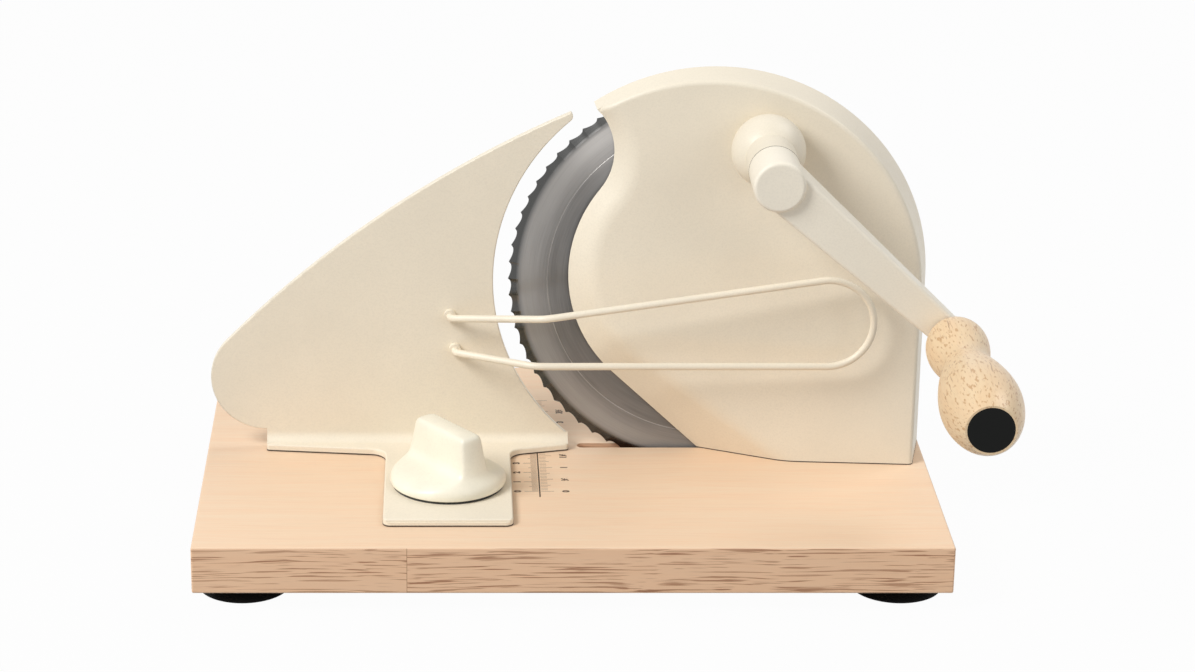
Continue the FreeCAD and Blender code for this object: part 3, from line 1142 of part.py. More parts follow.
def guard_collars():
    """Small collars that the wire's ends sit in on the plate."""
    collars = []
    for x, z in ((WIRE_UPPER_END_X, WIRE_UPPER_END_Z), (WIRE_LOWER_END_X, WIRE_LOWER_END_Z)):
        ring = rod_y(x, z, COLLAR_RADIUS, FENCE_FRONT_Y - COLLAR_LENGTH, FENCE_FRONT_Y)
        hole = rod_y(x, z, WIRE_RADIUS + FIXED_CLEARANCE, -BIG, BIG)
        collars.append(ring.cut(hole))
    return Part.makeCompound(collars)


def build():
    """All pieces by node name."""
    feet = dict(zip(("front_left", "front_right", "rear_left", "rear_right"), foot_places()))
    pieces = {"base_board": base_board()}
    for name, (x, y) in feet.items():
        pieces["suction_foot_" + name] = suction_foot(x, y)
    pieces["foot_screws"] = foot_screws()
    pieces["housing_shell"] = housing_shell()
    pieces["housing_screws"] = housing_screws()
    pieces["crank_bush_front"] = front_bush()
    pieces["crank_bush_rear"] = rear_bush()
    pieces["blade"] = blade()
    pieces["blade_gear"] = blade_gear()
    pieces["blade_bush"] = blade_bush()
    pieces["blade_axle"] = blade_axle()
    pieces["blade_rivets"] = blade_rivets()
    pieces["crank_pinion"] = crank_pinion()
    pieces["crank_shaft"] = crank_shaft()
    pieces["crank_screw"] = crank_screw()
    pieces["crank_cap"] = crank_cap()
    pieces["crank_arm"] = crank_arm()
    pieces["handle_spindle"] = handle_spindle()
    pieces["spindle_washers"] = spindle_washers()
    pieces["handle_grip"] = handle_grip()
    pieces["handle_end_cap"] = handle_end_cap()
    pieces["fence_plate"] = fence_plate()
    pieces["fence_guide"] = fence_guide()
    pieces["clamp_knob"] = clamp_knob()
    pieces["clamp_washer"] = clamp_washer()
    pieces["clamp_stud"] = clamp_stud()
    pieces["clamp_nut_plate"] = clamp_nut_plate()
    pieces["wire_guard"] = wire_guard()
    pieces["guard_collars"] = guard_collars()
    return pieces


def origin_shift(pieces):
    """Move that puts the origin under the middle of the whole slicer."""
    box = Part.makeCompound(list(pieces.values())).optimalBoundingBox(False)
    return Vector(-(box.XMin + box.XMax) / 2, -(box.YMin + box.YMax) / 2, 0)


def main():
    """Build, move to the origin and write one file per piece."""
    os.makedirs("parts", exist_ok=True)
    pieces = build()
    shift = origin_shift(pieces)
    for name, shape in pieces.items():
        shape.translate(shift)
        shape.exportStep("parts/" + name + ".step")
        print(name, len(shape.Solids), round(shape.Volume, 1), shape.isValid())
    print("shift", round(shift.x, 4), round(shift.y, 4))
    print("blade axis", round(BLADE_AXIS_X + shift.x, 4), BLADE_AXIS_Z)
    print("crank axis", round(CRANK_AXIS_X + shift.x, 4), round(CRANK_AXIS_Z, 4))
    print("handle axis", round(HANDLE_AXIS_X + shift.x, 4), round(HANDLE_AXIS_Z, 4))
    print("clamp axis", round(TONGUE_CENTRE_X + shift.x, 4), round(CLAMP_Y + shift.y, 4))


main()
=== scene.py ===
import math

import bmesh
import bpy
from bpy.props import FloatProperty, FloatVectorProperty, IntProperty, PointerProperty
from mathutils import Matrix, Vector


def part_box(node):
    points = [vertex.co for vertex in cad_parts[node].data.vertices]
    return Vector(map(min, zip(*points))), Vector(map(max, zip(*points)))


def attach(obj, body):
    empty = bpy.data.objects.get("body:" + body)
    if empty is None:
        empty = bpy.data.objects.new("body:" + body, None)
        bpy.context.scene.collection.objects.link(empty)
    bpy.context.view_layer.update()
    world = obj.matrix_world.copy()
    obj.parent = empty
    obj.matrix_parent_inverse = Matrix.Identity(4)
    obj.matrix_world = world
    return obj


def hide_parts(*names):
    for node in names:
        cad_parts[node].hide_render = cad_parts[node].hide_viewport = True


bl_info = {
    "name": "Hand cranked bread slicer",
    "version": (1, 0, 0),
    "blender": (4, 5, 0),
    "location": "3D View > Sidebar > Slicer",
    "description": "Dresses the packed bread slicer with its finishes and fine pieces",
    "category": "Object",
}

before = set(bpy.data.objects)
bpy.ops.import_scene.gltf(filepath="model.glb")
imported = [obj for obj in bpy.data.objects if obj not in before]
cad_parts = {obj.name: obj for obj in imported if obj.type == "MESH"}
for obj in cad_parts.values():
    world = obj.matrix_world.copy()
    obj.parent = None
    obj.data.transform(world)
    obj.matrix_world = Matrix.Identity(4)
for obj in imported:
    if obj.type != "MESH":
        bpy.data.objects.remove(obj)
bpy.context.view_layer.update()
MM = 0.001
WELD = 1e-6


def middle(node):
    """Middle of a node of the frame at rest."""
    low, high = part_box(node)
    return (low + high) / 2


BOARD_LOW, BOARD_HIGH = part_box("base_board")
BLADE_AXIS = middle("blade")
HANDLE_AXIS = middle("handle_grip")
CLAMP_AXIS = middle("clamp_washer")
FEET = ("front_left", "front_right", "rear_left", "rear_right")


# ---------------------------------------------------------------- sizes and colours


def length(name, description, default):
    """A length of the panel, in metres."""
    return FloatProperty(name=name, description=description, default=default,
                         subtype="DISTANCE", unit="LENGTH", precision=5)


def colour(name, description, default):
    """A colour of the panel, in linear red, green and blue."""
    return FloatVectorProperty(name=name, description=description, default=default,
                               subtype="COLOR", size=3, min=0, max=1)


class SlicerSizes(bpy.types.PropertyGroup):
    """Sizes of the fine pieces that the frame leaves plain."""

    blade_waves: IntProperty(name="Blade waves", description="Teeth round the blade's edge",
                             default=72, min=12)
    wave_depth: length("Wave depth", "Depth of the hollow between two teeth", 0.00125)
    bevel_start: length("Bevel start", "Radius where the ground bevel of the blade starts",
                        0.0800)
    edge_thickness: length("Edge thickness", "Thickness left at the blade's teeth", 0.0003)
    line_radius: length("Line radius", "Radius of the fine turned line on the blade", 0.0680)
    line_width: length("Line width", "Width of the fine turned line on the blade", 0.0004)
    scale_line: length("Scale line", "Distance of the scale's long line from the board's left",
                       0.1384)
    scale_zero: length("Scale zero", "Distance of the scale's zero from the board's front",
                       0.0570)
    print_thickness: length("Print thickness", "Height of the printed ink on the board",
                            0.00002)
    joint_line: length("Stave joint", "Distance of the glued joint from the board's left",
                       0.0848)
    # Height and reach of the dark bands under cast pieces, which are painted contact shadow.
    seam_height: length("Seam height", "Height of the dark seams under cast pieces", 0.00040)
    seam_reach: length("Seam reach", "How far a seam stands out from its piece", 0.00008)


class SlicerColours(bpy.types.PropertyGroup):
    """Colours of the finishes."""

    enamel: colour("Enamel", "Cream paint on the cast and bent metal", (0.865, 0.785, 0.640))
    crank_enamel: colour("Crank enamel", "Slightly paler cream paint of the arm and hub cap",
                         (0.93, 0.86, 0.725))
    moulded: colour("Moulded", "Cream plastic of the clamp knob", (0.92, 0.87, 0.72))
    board: colour("Board", "Pale sanded wood of the board", (0.845, 0.645, 0.46))
    # Darkens the growth bands and fibres, and the upright edges, whose darker and redder tone
    # is partly the wood's own colour and partly painted shade.
    board_dark: colour("Board, darker", "Darker growth bands of the board", (0.86, 0.52, 0.31))
    pores: colour("Pores", "Open pores in the wood", (0.29, 0.115, 0.048))
    handle: colour("Handle", "Turned wood of the handle", (0.81, 0.62, 0.395))
    handle_dark: colour("Handle, darker", "Darker flecks of the handle", (0.52, 0.29, 0.13))
    steel: colour("Steel", "Brushed steel of the blade", (0.26, 0.25, 0.24))
    # Painted dark reflection: the ground bevel is coloured this dark for the dark surroundings
    # it mirrors.
    bevel: colour("Bevel", "Ground bevel of the blade", (0.095, 0.095, 0.093))
    rubber: colour("Rubber", "Black rubber of the feet", (0.011, 0.011, 0.011))
    cap: colour("End cap", "Black plastic of the handle's end", (0.003, 0.0035, 0.003))
    # Painted shadow: colour of the dark bands where cast pieces meet the board and where the
    # hub meets its boss.
    seam: colour("Seam", "Dark seams where cast pieces meet the board", (0.075, 0.050, 0.032))
    ink: colour("Ink", "Brown ink of the printed scale", (0.050, 0.024, 0.012))
    floor: colour("Floor", "Pale studio floor", (0.42, 0.42, 0.42))


# ---------------------------------------------------------------- finishes


class Finish:
    """A material in the making, with short calls for the nodes in front of its shader."""

    def __init__(self, name, base, roughness, **sockets):
        self.material = bpy.data.materials.new(name)
        self.material.use_nodes = True
        self.tree = self.material.node_tree
        self.shader = self.tree.nodes["Principled BSDF"]
        self.place = self.add("TexCoord").outputs["Object"]
        self.set(Base_Color=base, Roughness=roughness, **sockets)

    def set(self, **sockets):
        """Sets or links sockets of the shader."""
        self.fill(self.shader, sockets)

    def fill(self, node, sockets):
        """Gives each named input of a node its value, or the output that feeds it."""
        for name, value in sockets.items():
            # Inputs that share a name are asked for by number, as i0, i1 and so on.
            numbered = name[0] == "i" and name[1:].isdigit()
            socket = node.inputs[int(name[1:]) if numbered else name.replace("_", " ")]
            if isinstance(value, bpy.types.NodeSocket):
                self.tree.links.new(value, socket)
            elif socket.type == "RGBA":
                socket.default_value = (*value[:3], 1)
            else:
                socket.default_value = value

    def add(self, kind, settings=None, **sockets):
        """A new shader node with its settings and inputs."""
        node = self.tree.nodes.new("ShaderNode" + kind)
        for name, value in (settings or {}).items():
            setattr(node, name, value)
        self.fill(node, sockets)
        return node

    def calc(self, operation, *values, kind="Math"):
        """One step of arithmetic on numbers."""
        sockets = {f"i{i}": value for i, value in enumerate(values)}
        return self.add(kind, {"operation": operation}, **sockets).outputs[0]

    def vector(self, operation, *values):
        """One step of arithmetic on coordinates."""
        return self.calc(operation, *values, kind="VectorMath")

    def moved(self, place, location=(0, 0, 0), scale=(1, 1, 1)):
        """Coordinates shifted, then stretched."""
        return self.vector("MULTIPLY", self.vector("ADD", place, location), scale)

    def parts(self, place):
        """The three numbers of a place or direction."""
        return self.add("SeparateXYZ", Vector=place).outputs[:]

    def noise(self, place, scale=1.0, detail=2.0, roughness=0.5):
        """Cloudy noise from 0 to 1."""
        return self.add("TexNoise", Vector=place, Scale=scale, Detail=detail,
                        Roughness=roughness).outputs["Fac"]

    def between(self, value, low, high, start=0.0, end=1.0):
        """Value taken from one range to another, held at its ends."""
        return self.add("MapRange", Value=value, From_Min=low, From_Max=high, To_Min=start,
                        To_Max=end).outputs[0]

    def layered(self, shade, *layers):
        """A colour with tones laid over it, each by a pattern, its range and its share."""
        for pattern, low, high, share, tone in layers:
            node = self.add("Mix", {"data_type": "RGBA"})
            factor = self.between(pattern, low, high, 0, share)
            self.fill(node, {"i0": factor, "i6": shade, "i7": tone})
            shade = node.outputs[2]
        return shade

    def bump(self, height, depth, strength=1.0, below=None):
        """Fine relief of the given depth, on top of the relief below it."""
        sockets = {"Height": height, "Distance": depth, "Strength": strength}
        if below is not None:
            sockets["Normal"] = below
        return self.add("Bump", **sockets).outputs[0]


def tinted(tone, factor):
    """A colour made lighter or darker."""
    return tuple(min(1.0, part * factor) for part in tone)


def enamel_finish(name, tone):
    """Baked paint over sand cast metal: faint cloudy tone and a fine pebbled skin."""
    paint = Finish(name, tone, 0.42)
    cloud = paint.noise(paint.place, scale=16, detail=3)
    pebble = paint.noise(paint.place, scale=1300, roughness=0.6)
    skin = paint.noise(paint.place, scale=320)
    shade = paint.layered(tinted(tone, 1.02),
                          (cloud, 0.35, 0.65, 1, tinted(tone, 0.955)),
                          (pebble, 0.42, 0.72, 0.35, tinted(tone, 0.86)))
    ripple = paint.bump(skin, depth=0.0003, strength=0.12)
    paint.set(Base_Color=shade, Roughness=paint.between(skin, 0.3, 0.7, 0.36, 0.50),
              Normal=paint.bump(pebble, depth=0.00012, strength=0.35, below=ripple))
    return paint.material


def moulded_finish(name, tone, roughness, sockets=None, relief=0.00005):
    """Moulded or turned material with a faint cloud, fine mottling and a soft sheen."""
    skin = Finish(name, tone, roughness, **(sockets or {}))
    cloud = skin.noise(skin.place, scale=45, detail=3)
    grain = skin.noise(skin.place, scale=900, detail=3, roughness=0.6)
    shade = skin.layered(tinted(tone, 1.04),
                         (cloud, 0.3, 0.7, 1, tinted(tone, 0.93)),
                         (grain, 0.5, 0.8, 0.3, tinted(tone, 0.8)))
    skin.set(Base_Color=shade,
             Roughness=skin.between(grain, 0.3, 0.7, roughness * 0.85, roughness * 1.15),
             Normal=skin.bump(grain, depth=relief, strength=0.4))
    return skin.material


def along_grain(axis, long, fine):
    """Stretch that draws noise out along the grain."""
    return tuple(long if i == axis else fine for i in range(3))


def wood_layers(wood, place, axis):
    """Fibres, growth bands and open pores of a wood whose grain runs along one axis."""
    wander = wood.add("TexNoise", Vector=place, Scale=11, Detail=2).outputs["Color"]
    bend = wood.moved(wander, (-0.5, -0.5, -0.5), along_grain(axis, 0, 0.006))
    place = wood.vector("ADD", place, bend)
    fibres = wood.noise(wood.moved(place, scale=along_grain(axis, 45, 1300)), detail=3)
    bands = wood.noise(wood.moved(place, scale=along_grain(axis, 6, 190)), detail=3)
    pores = wood.noise(wood.moved(place, (0.3, 0.2, 0.1), along_grain(axis, 32, 1500)))
    return fibres, bands, pores


# Shift of the left stave's grain along X and up, and width of the glue line beside it.
STAVE_SHIFT = (0.437, 0.213)
GLUE_WIDTH = 0.00024


def board_finish(colours, sizes):
    """Sanded board of glued staves: pale top, and edges with dark open pores, the edges darker
    and redder, partly the wood's own colour and partly painted shade.
    """
    wood = Finish("rubberwood_board", colours.board, 0.5)
    x = wood.parts(wood.place)[0]
    facing_up = wood.parts(wood.add("NewGeometry").outputs["Normal"])[2]
    upright = wood.between(wood.calc("ABSOLUTE", facing_up), 0.3, 0.8, 1, 0)
    joint = BOARD_LOW.x + sizes.joint_line
    left = wood.calc("MULTIPLY", wood.calc("LESS_THAN", x, joint), upright)
    shift = wood.add("CombineXYZ", X=wood.calc("MULTIPLY", left, STAVE_SHIFT[0]),
                     Z=wood.calc("MULTIPLY", left, STAVE_SHIFT[1])).outputs[0]
    fibres, bands, pores = wood_layers(wood, wood.vector("ADD", wood.place, shift), 0)
    open_pores = wood.calc("MULTIPLY", wood.between(pores, 0.55, 0.62),
                           wood.between(upright, 0, 1, 0.05, 0.84))
    open_pores = wood.calc("MULTIPLY", open_pores,
                           wood.between(bands, 0.35, 0.62, 0.45, 1.0))
    glue = wood.calc("MULTIPLY", wood.calc("COMPARE", x, joint, GLUE_WIDTH / 2), upright)
    shade = wood.layered(colours.board,
                         (bands, 0.35, 0.70, 0.25, colours.board_dark),
                         (fibres, 0.45, 0.75, 0.22, colours.board_dark),
                         # Upright edges darker and redder: partly the wood's own colour at the
                         # edges, partly painted shade.
                         (upright, 0, 1, 0.60, colours.board_dark),
                         (open_pores, 0, 1, 1, colours.pores),
                         (glue, 0, 1, 0.7, colours.pores))
    relief = wood.calc("SUBTRACT", fibres, open_pores)
    wood.set(Base_Color=shade, Roughness=wood.between(fibres, 0.3, 0.7, 0.46, 0.60),
             Normal=wood.bump(relief, depth=0.00018, strength=0.35))
    return wood.material


def handle_finish(colours):
    """Turned and waxed wood, grain along the handle, with short darker flecks."""
    wood = Finish("turned_handle_wood", colours.handle, 0.4)
    place = wood.moved(wood.place, -HANDLE_AXIS)
    fibres, bands, pores = wood_layers(wood, place, 1)
    flecks = wood.noise(wood.moved(place, (0.7, 0.1, 0.4), along_grain(1, 260, 900)), detail=1)
    shade = wood.layered(colours.handle,
                         (bands, 0.35, 0.7, 0.25, tinted(colours.handle_dark, 1.45)),
                         (fibres, 0.5, 0.8, 0.2, colours.handle_dark),
                         (flecks, 0.58, 0.68, 0.75, colours.handle_dark),
                         (pores, 0.64, 0.72, 0.6, colours.pores))
    relief = wood.calc("SUBTRACT", fibres, pores)
    wood.set(Base_Color=shade, Roughness=wood.between(fibres, 0.3, 0.7, 0.28, 0.40),
             Normal=wood.bump(relief, depth=0.00012, strength=0.3))
    return wood.material


# Brush lines to a metre of radius, and streaks to a radian round the blade, both for the brush
# lines and for the lighter streaks of painted sheen.
BRUSH_LINES, BRUSH_AND_SHEEN_STREAKS = 2600, 2.5
# How far inside and outside its start the bevel's darker tone, a painted dark reflection,
# grows.
BEVEL_FADE = (0.0016, 0.0010)
# A painted tone grows from one radius to the next, up to its share: under 1 is darker, a
# painted shade towards the middle, over 1 lighter, a painted sheen band near the rim.
STEEL_SHEEN_AND_SHADE = ((0.074, 0.058, 0.55, 0.62), (0.067, 0.075, 0.55, 1.8))


def blade_finish(colours, sizes):
    """Steel brushed in circles about the blade's axis, with painted sheen streaks and bands,
    painted shade towards the middle, a painted highlight on the turned line and the ground
    bevel painted dark as a painted dark reflection.
    """
    steel = Finish("brushed_blade_steel", colours.steel, 0.45, Metallic=1.0, Anisotropic=0.9)
    spoke = steel.moved(steel.place, -BLADE_AXIS, (1, 0, 1))
    turned_out = steel.add("VectorTransform", {"convert_from": "OBJECT", "convert_to": "WORLD",
                                               "vector_type": "VECTOR"}, Vector=spoke)
    outward = steel.vector("NORMALIZE", turned_out.outputs[0])
    x, _, z = steel.parts(spoke)
    radius = steel.calc("SQRT", steel.calc("ADD", steel.calc("MULTIPLY", x, x),
                                           steel.calc("MULTIPLY", z, z)))
    turn = steel.calc("ARCTAN2", x, z)
    marks = steel.add("CombineXYZ", X=steel.calc("MULTIPLY", radius, BRUSH_LINES),
                      Y=steel.calc("MULTIPLY", turn, BRUSH_AND_SHEEN_STREAKS)).outputs[0]
    brushed = steel.noise(marks, detail=3, roughness=0.6)
    # Broad lighter streaks round the blade: painted sheen.
    sheen_streaks = steel.noise(steel.moved(marks, scale=(0.12, 1.0, 1.0)))
    # Painted highlight: a bright line on the turned groove, three times lighter than the
    # steel.
    ring = steel.calc("COMPARE", radius, sizes.line_radius, sizes.line_width / 2)
    ground = steel.between(radius, sizes.bevel_start - BEVEL_FADE[0],
                           sizes.bevel_start + BEVEL_FADE[1])
    sheen_and_shade_bands = [(radius, start, end, share, tinted(colours.steel, factor))
             for start, end, share, factor in STEEL_SHEEN_AND_SHADE]
    shade = steel.layered(colours.steel,
                          (brushed, 0.3, 0.7, 0.5, tinted(colours.steel, 0.72)),
                          # Painted sheen streaks.
                          (sheen_streaks, 0.35, 0.65, 0.35, tinted(colours.steel, 1.35)),
                          # Painted sheen and painted shade in bands by radius.
                          *sheen_and_shade_bands,
                          # Painted highlight on the turned line.
                          (ring, 0, 1, 0.35, tinted(colours.steel, 3)),
                          # Ground bevel painted dark: a painted dark reflection.
                          (ground, 0, 1, 1, colours.bevel))
    rough = steel.calc("MULTIPLY", steel.between(brushed, 0.3, 0.7, 0.40, 0.54),
                       steel.between(ground, 0, 1, 1, 0.5))
    steel.set(Base_Color=shade, Roughness=rough, Tangent=outward,
              Normal=steel.bump(brushed, depth=0.00003, strength=0.25))
    return steel.material


def ink_finish(colours):
    """Printed ink, a little worn."""
    ink = Finish("scale_ink", colours.ink, 0.6)
    worn = ink.noise(ink.place, scale=1400)
    ink.set(Base_Color=ink.layered(colours.ink,
                                   (worn, 0.5, 0.8, 0.5, tinted(colours.board, 0.55))),
            Roughness=ink.between(worn, 0.3, 0.7, 0.5, 0.7))
    return ink.material


def finished(make, name, *values):
    """The named finish, made once however many pieces wear it."""
    return bpy.data.materials.get(name) or make(name, *values)


METAL = {"Metallic": 1.0}


def enamel(context):
    """Cream paint of the cast pieces and the wire."""
    return finished(enamel_finish, "cream_enamel", context.scene.slicer_colours.enamel)


def dark_seam(context):
    """Painted shadow: a dark line where one piece meets the next."""
    return finished(moulded_finish, "dark_seam", context.scene.slicer_colours.seam, 0.7)


def plated():
    """Bright plated steel of screws, shaft, axle and spindle."""
    return finished(moulded_finish, "plated_screw_steel", (0.55, 0.55, 0.54), 0.30, METAL,
                    0.00002)


def bronze():
    """Sintered bronze of the bushes."""
    return finished(moulded_finish, "sintered_bronze", (0.62, 0.42, 0.20), 0.35, METAL,
                    0.00002)


def nylon():
    """Pale nylon of the gears and the fence's guide key."""
    return finished(moulded_finish, "gear_nylon", (0.72, 0.70, 0.64), 0.5)


# ---------------------------------------------------------------- shapes


def dress(material, *nodes):
    """Gives nodes of the frame their finish."""
    for name in nodes:
        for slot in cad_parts[name].material_slots:
            slot.material = material


def piece(name, mesh, body, material, replaces=()):
    """Makes an object of a bmesh that is already in its place, and rides it on a body."""
    data = bpy.data.meshes.new(name)
    mesh.to_mesh(data)
    mesh.free()
    data.materials.append(material)
    made = bpy.data.objects.new(name, data)
    bpy.context.scene.collection.objects.link(made)
    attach(made, body)
    if replaces:
        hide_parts(*replaces)


def sharp_edges(mesh, degrees):
    """Edges between two faces that turn by more than the given angle."""
    limit = math.radians(degrees)
    return [edge for edge in mesh.edges
            if len(edge.link_faces) == 2 and edge.calc_face_angle(0) > limit]


def smooth(mesh, degrees):
    """Smooth faces, with edges sharper than the given angle left crisp."""
    for face in mesh.faces:
        face.smooth = True
    for edge in sharp_edges(mesh, degrees):
        edge.smooth = False


def round_edges(mesh, width, degrees):
    """Rounds the edges of a turned shape that are sharper than the given angle."""
    bmesh.ops.bevel(mesh, geom=sharp_edges(mesh, degrees), offset=width,
                    offset_type="OFFSET", segments=3, affect="EDGES", profile=0.5,
                    material=-1, clamp_overlap=True)


def tidy_closed(mesh):
    """Welds doubles and turns all faces outwards."""
    bmesh.ops.remove_doubles(mesh, verts=mesh.verts, dist=WELD)
    bmesh.ops.recalc_face_normals(mesh, faces=mesh.faces)


def turned(profile, steps):
    """Closed ring of a profile of radius and height, turned about the Z axis."""
    mesh = bmesh.new()
    points = [mesh.verts.new((radius, 0, height)) for radius, height in profile]
    edges = [mesh.edges.new((points[i - 1], points[i])) for i in range(len(points))]
    bmesh.ops.spin(mesh, geom=points + edges, cent=(0, 0, 0), axis=(0, 0, 1),
                   angle=math.tau, steps=steps, use_merge=True, use_duplicate=False)
    tidy_closed(mesh)
    return mesh


RING_STEPS = 96
RING_CRISP = 30


def flat_ring(inner, outer, low, high):
    """Closed ring of a square section, turned about the Z axis."""
    ring = turned([(inner, low), (outer, low), (outer, high), (inner, high)], RING_STEPS)
    smooth(ring, RING_CRISP)
    return ring


def drawn_up(mesh, rim, places):
    """Pulls the open rim of a mesh through rings of places, and returns its last rim."""
    for ring in places:
        order = {vert: i for i, vert in enumerate(rim)}
        edges = [edge for edge in mesh.edges
                 if edge.verts[0] in order and edge.verts[1] in order]
        copies = bmesh.ops.extrude_edge_only(mesh, edges=edges)["geom"]
        matched = [None] * len(rim)
        for vert in copies:
            if isinstance(vert, bmesh.types.BMVert):
                source = next(edge.other_vert(vert) for edge in vert.link_edges
                              if edge.other_vert(vert) in order)
                matched[order[source]] = vert
        for vert, place in zip(matched, ring):
            vert.co = place
        rim = matched
    return rim


def ring_start(places):
    """A ring of vertices and edges on the given places, made from a circle."""
    mesh = bmesh.new()
    made = bmesh.ops.create_circle(mesh, cap_ends=False, segments=len(places), radius=1)
    for vert, place in zip(made["verts"], places):
        vert.co = place
    return mesh, list(made["verts"])


# Sideways part of a point's normal over which the painted contact shadow band pushes it out.
SHADOW_BAND_LEAN = 0.1


def contact_seam(context, name, node, body):
    """Thin dark band round the foot of a node, where it stands on the board: a painted contact
    shadow.
    """
    sizes = context.scene.slicer_sizes
    mesh = bmesh.new()
    mesh.from_mesh(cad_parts[node].data)
    bmesh.ops.remove_doubles(mesh, verts=mesh.verts, dist=WELD)
    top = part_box(node)[0].z + sizes.seam_height
    whole = mesh.verts[:] + mesh.edges[:] + mesh.faces[:]
    cut = bmesh.ops.bisect_plane(mesh, geom=whole, plane_co=(0, 0, top),
                                 plane_no=(0, 0, 1), clear_outer=True)["geom_cut"]
    rim = [item for item in cut if isinstance(item, bmesh.types.BMEdge)]
    bmesh.ops.triangle_fill(mesh, use_beauty=True, edges=rim)
    tidy_closed(mesh)
    for vert in mesh.verts:
        out = Vector((vert.normal.x, vert.normal.y, 0))
        if out.length > SHADOW_BAND_LEAN:
            vert.co += out.normalized() * sizes.seam_reach
    piece(name, mesh, body, dark_seam(context))


# ---------------------------------------------------------------- pieces


# Radius and height round the foot's section, in millimetres.
FOOT_PROFILE = (
    (2.1, 8.4), (8.0, 8.4), (8.0, 6.7), (9.4, 5.5), (12.2, 4.5), (15.2, 3.4), (17.4, 2.2),
    (18.6, 0.9), (18.5, 0.25), (18.0, 0.0), (17.1, 0.1), (15.6, 0.9), (13.0, 1.9),
    (9.5, 2.6), (6.0, 2.9), (4.2, 3.0), (4.2, 5.4), (2.1, 5.4))
FOOT_STEPS = 72
FOOT_ROUND = 0.0003
FOOT_ROUND_ANGLE = 50
FOOT_CRISP = 45


class SLICER_OT_feet(bpy.types.Operator):
    """Soft suction feet with their rims, in black rubber"""

    bl_idname = "slicer.feet"
    bl_label = "Suction feet"

    def execute(self, context):
        tone = context.scene.slicer_colours.rubber
        rubber = finished(moulded_finish, "soft_black_rubber", tone, 0.6,
                          {"Specular_IOR_Level": 0.05})
        profile = [(radius * MM, height * MM) for radius, height in FOOT_PROFILE]
        for corner in FEET:
            node = "suction_foot_" + corner
            place = middle(node)
            foot = turned(profile, FOOT_STEPS)
            round_edges(foot, FOOT_ROUND, FOOT_ROUND_ANGLE)
            smooth(foot, FOOT_CRISP)
            bmesh.ops.translate(foot, verts=foot.verts, vec=(place.x, place.y, 0))
            piece("cup_" + corner, foot, "root", rubber, [node])
        dress(plated(), "foot_screws")
        return {"FINISHED"}


CM = 10 * MM
INCH = 0.0254
SCALE_CM = 10
SCALE_INCHES = 4
LONG_LINE = 0.0006
# How far the long line runs on past the scale's two ends, in front and behind.
LONG_LINE_RUNS = (0.006, 0.002)
# For each column: its side of the long line, the distance and number of its steps, the steps
# to a long stroke, how far long, middle and short strokes reach, and how wide they are.
SCALE_COLUMNS = (
    (-1, MM, SCALE_CM * 10, 10, (0.0062, 0.0041, 0.0031), 0.00024),
    (1, INCH / 16, SCALE_INCHES * 16, 8, (0.0058, 0.0046, 0.0034), 0.00022))
CM_NUMBERS = -0.0089
INCH_NUMBERS = 0.0108
DIGIT_HEIGHT = 0.0027
DIGIT_WEIGHT = 0.00021
# Font size over the height of its digits.
FONT_TO_DIGIT = 1.4


def bar(mesh, x0, x1, y, width, thickness):
    """One printed stroke across the board, from x0 to x1."""
    size = Matrix.Diagonal((x1 - x0, width, thickness, 1))
    place = Matrix.Translation(((x0 + x1) / 2, y, BOARD_HIGH.z + thickness / 2))
    bmesh.ops.create_cube(mesh, size=1, matrix=place @ size)


def stroke_reach(step, whole, reaches):
    """Reach of a stroke: longest at each whole, shorter at its middle, shortest elsewhere."""
    if step % whole == 0:
        return reaches[0]
    return reaches[1] if step % (whole // 2) == 0 else reaches[2]


def label(mesh, text, x, y, thickness):
    """A printed number that reads from the right hand side."""
    curve = bpy.data.curves.new("number", "FONT")
    curve.body = text
    curve.size = DIGIT_HEIGHT * FONT_TO_DIGIT
    curve.align_x, curve.align_y = "CENTER", "CENTER"
    curve.extrude = thickness / 2
    curve.offset = DIGIT_WEIGHT
    curve.resolution_u = 3
    shown = bpy.data.objects.new("number", curve)
    bpy.context.scene.collection.objects.link(shown)
    bpy.context.view_layer.update()
    data = bpy.data.meshes.new_from_object(shown.evaluated_get(
        bpy.context.evaluated_depsgraph_get()))
    place = Matrix.Translation((x, y, BOARD_HIGH.z + thickness / 2))
    data.transform(place @ Matrix.Rotation(math.radians(90), 4, "Z"))
    mesh.from_mesh(data)
    bpy.data.objects.remove(shown)
    bpy.data.curves.remove(curve)
    bpy.data.meshes.remove(data)


class SLICER_OT_board(bpy.types.Operator):
    """Wooden board with its printed centimetre and inch scale"""

    bl_idname = "slicer.board"
    bl_label = "Board and scale"

    def execute(self, context):
        sizes, colours = context.scene.slicer_sizes, context.scene.slicer_colours
        dress(board_finish(colours, sizes), "base_board")
        line = BOARD_LOW.x + sizes.scale_line
        zero = BOARD_LOW.y + sizes.scale_zero
        thick = sizes.print_thickness
        end = zero + SCALE_CM * CM
        front, back = zero - LONG_LINE_RUNS[0], end + LONG_LINE_RUNS[1]
        ink = bmesh.new()
        bar(ink, line - LONG_LINE / 2, line + LONG_LINE / 2, (front + back) / 2, back - front,
            thick)
        for side, distance, steps, whole, reaches, width in SCALE_COLUMNS:
            for step in range(steps + 1):
                reach = stroke_reach(step, whole, reaches)
                x0, x1 = sorted((line + side * LONG_LINE, line + side * reach))
                bar(ink, x0, x1, zero + step * distance, width, thick)
        for number in range(SCALE_CM + 1):
            label(ink, str(number), line + CM_NUMBERS, zero + number * CM, thick)
        for half in range(SCALE_INCHES * 2 + 1):
            text = (str(half // 2) if half != 1 else "") + ("½" if half % 2 else "")
            label(ink, text, line + INCH_NUMBERS, zero + half * INCH / 2, thick)
        piece("scale_print", ink, "root", ink_finish(colours))
        return {"FINISHED"}


BLADE_WAVE_STEPS = 8
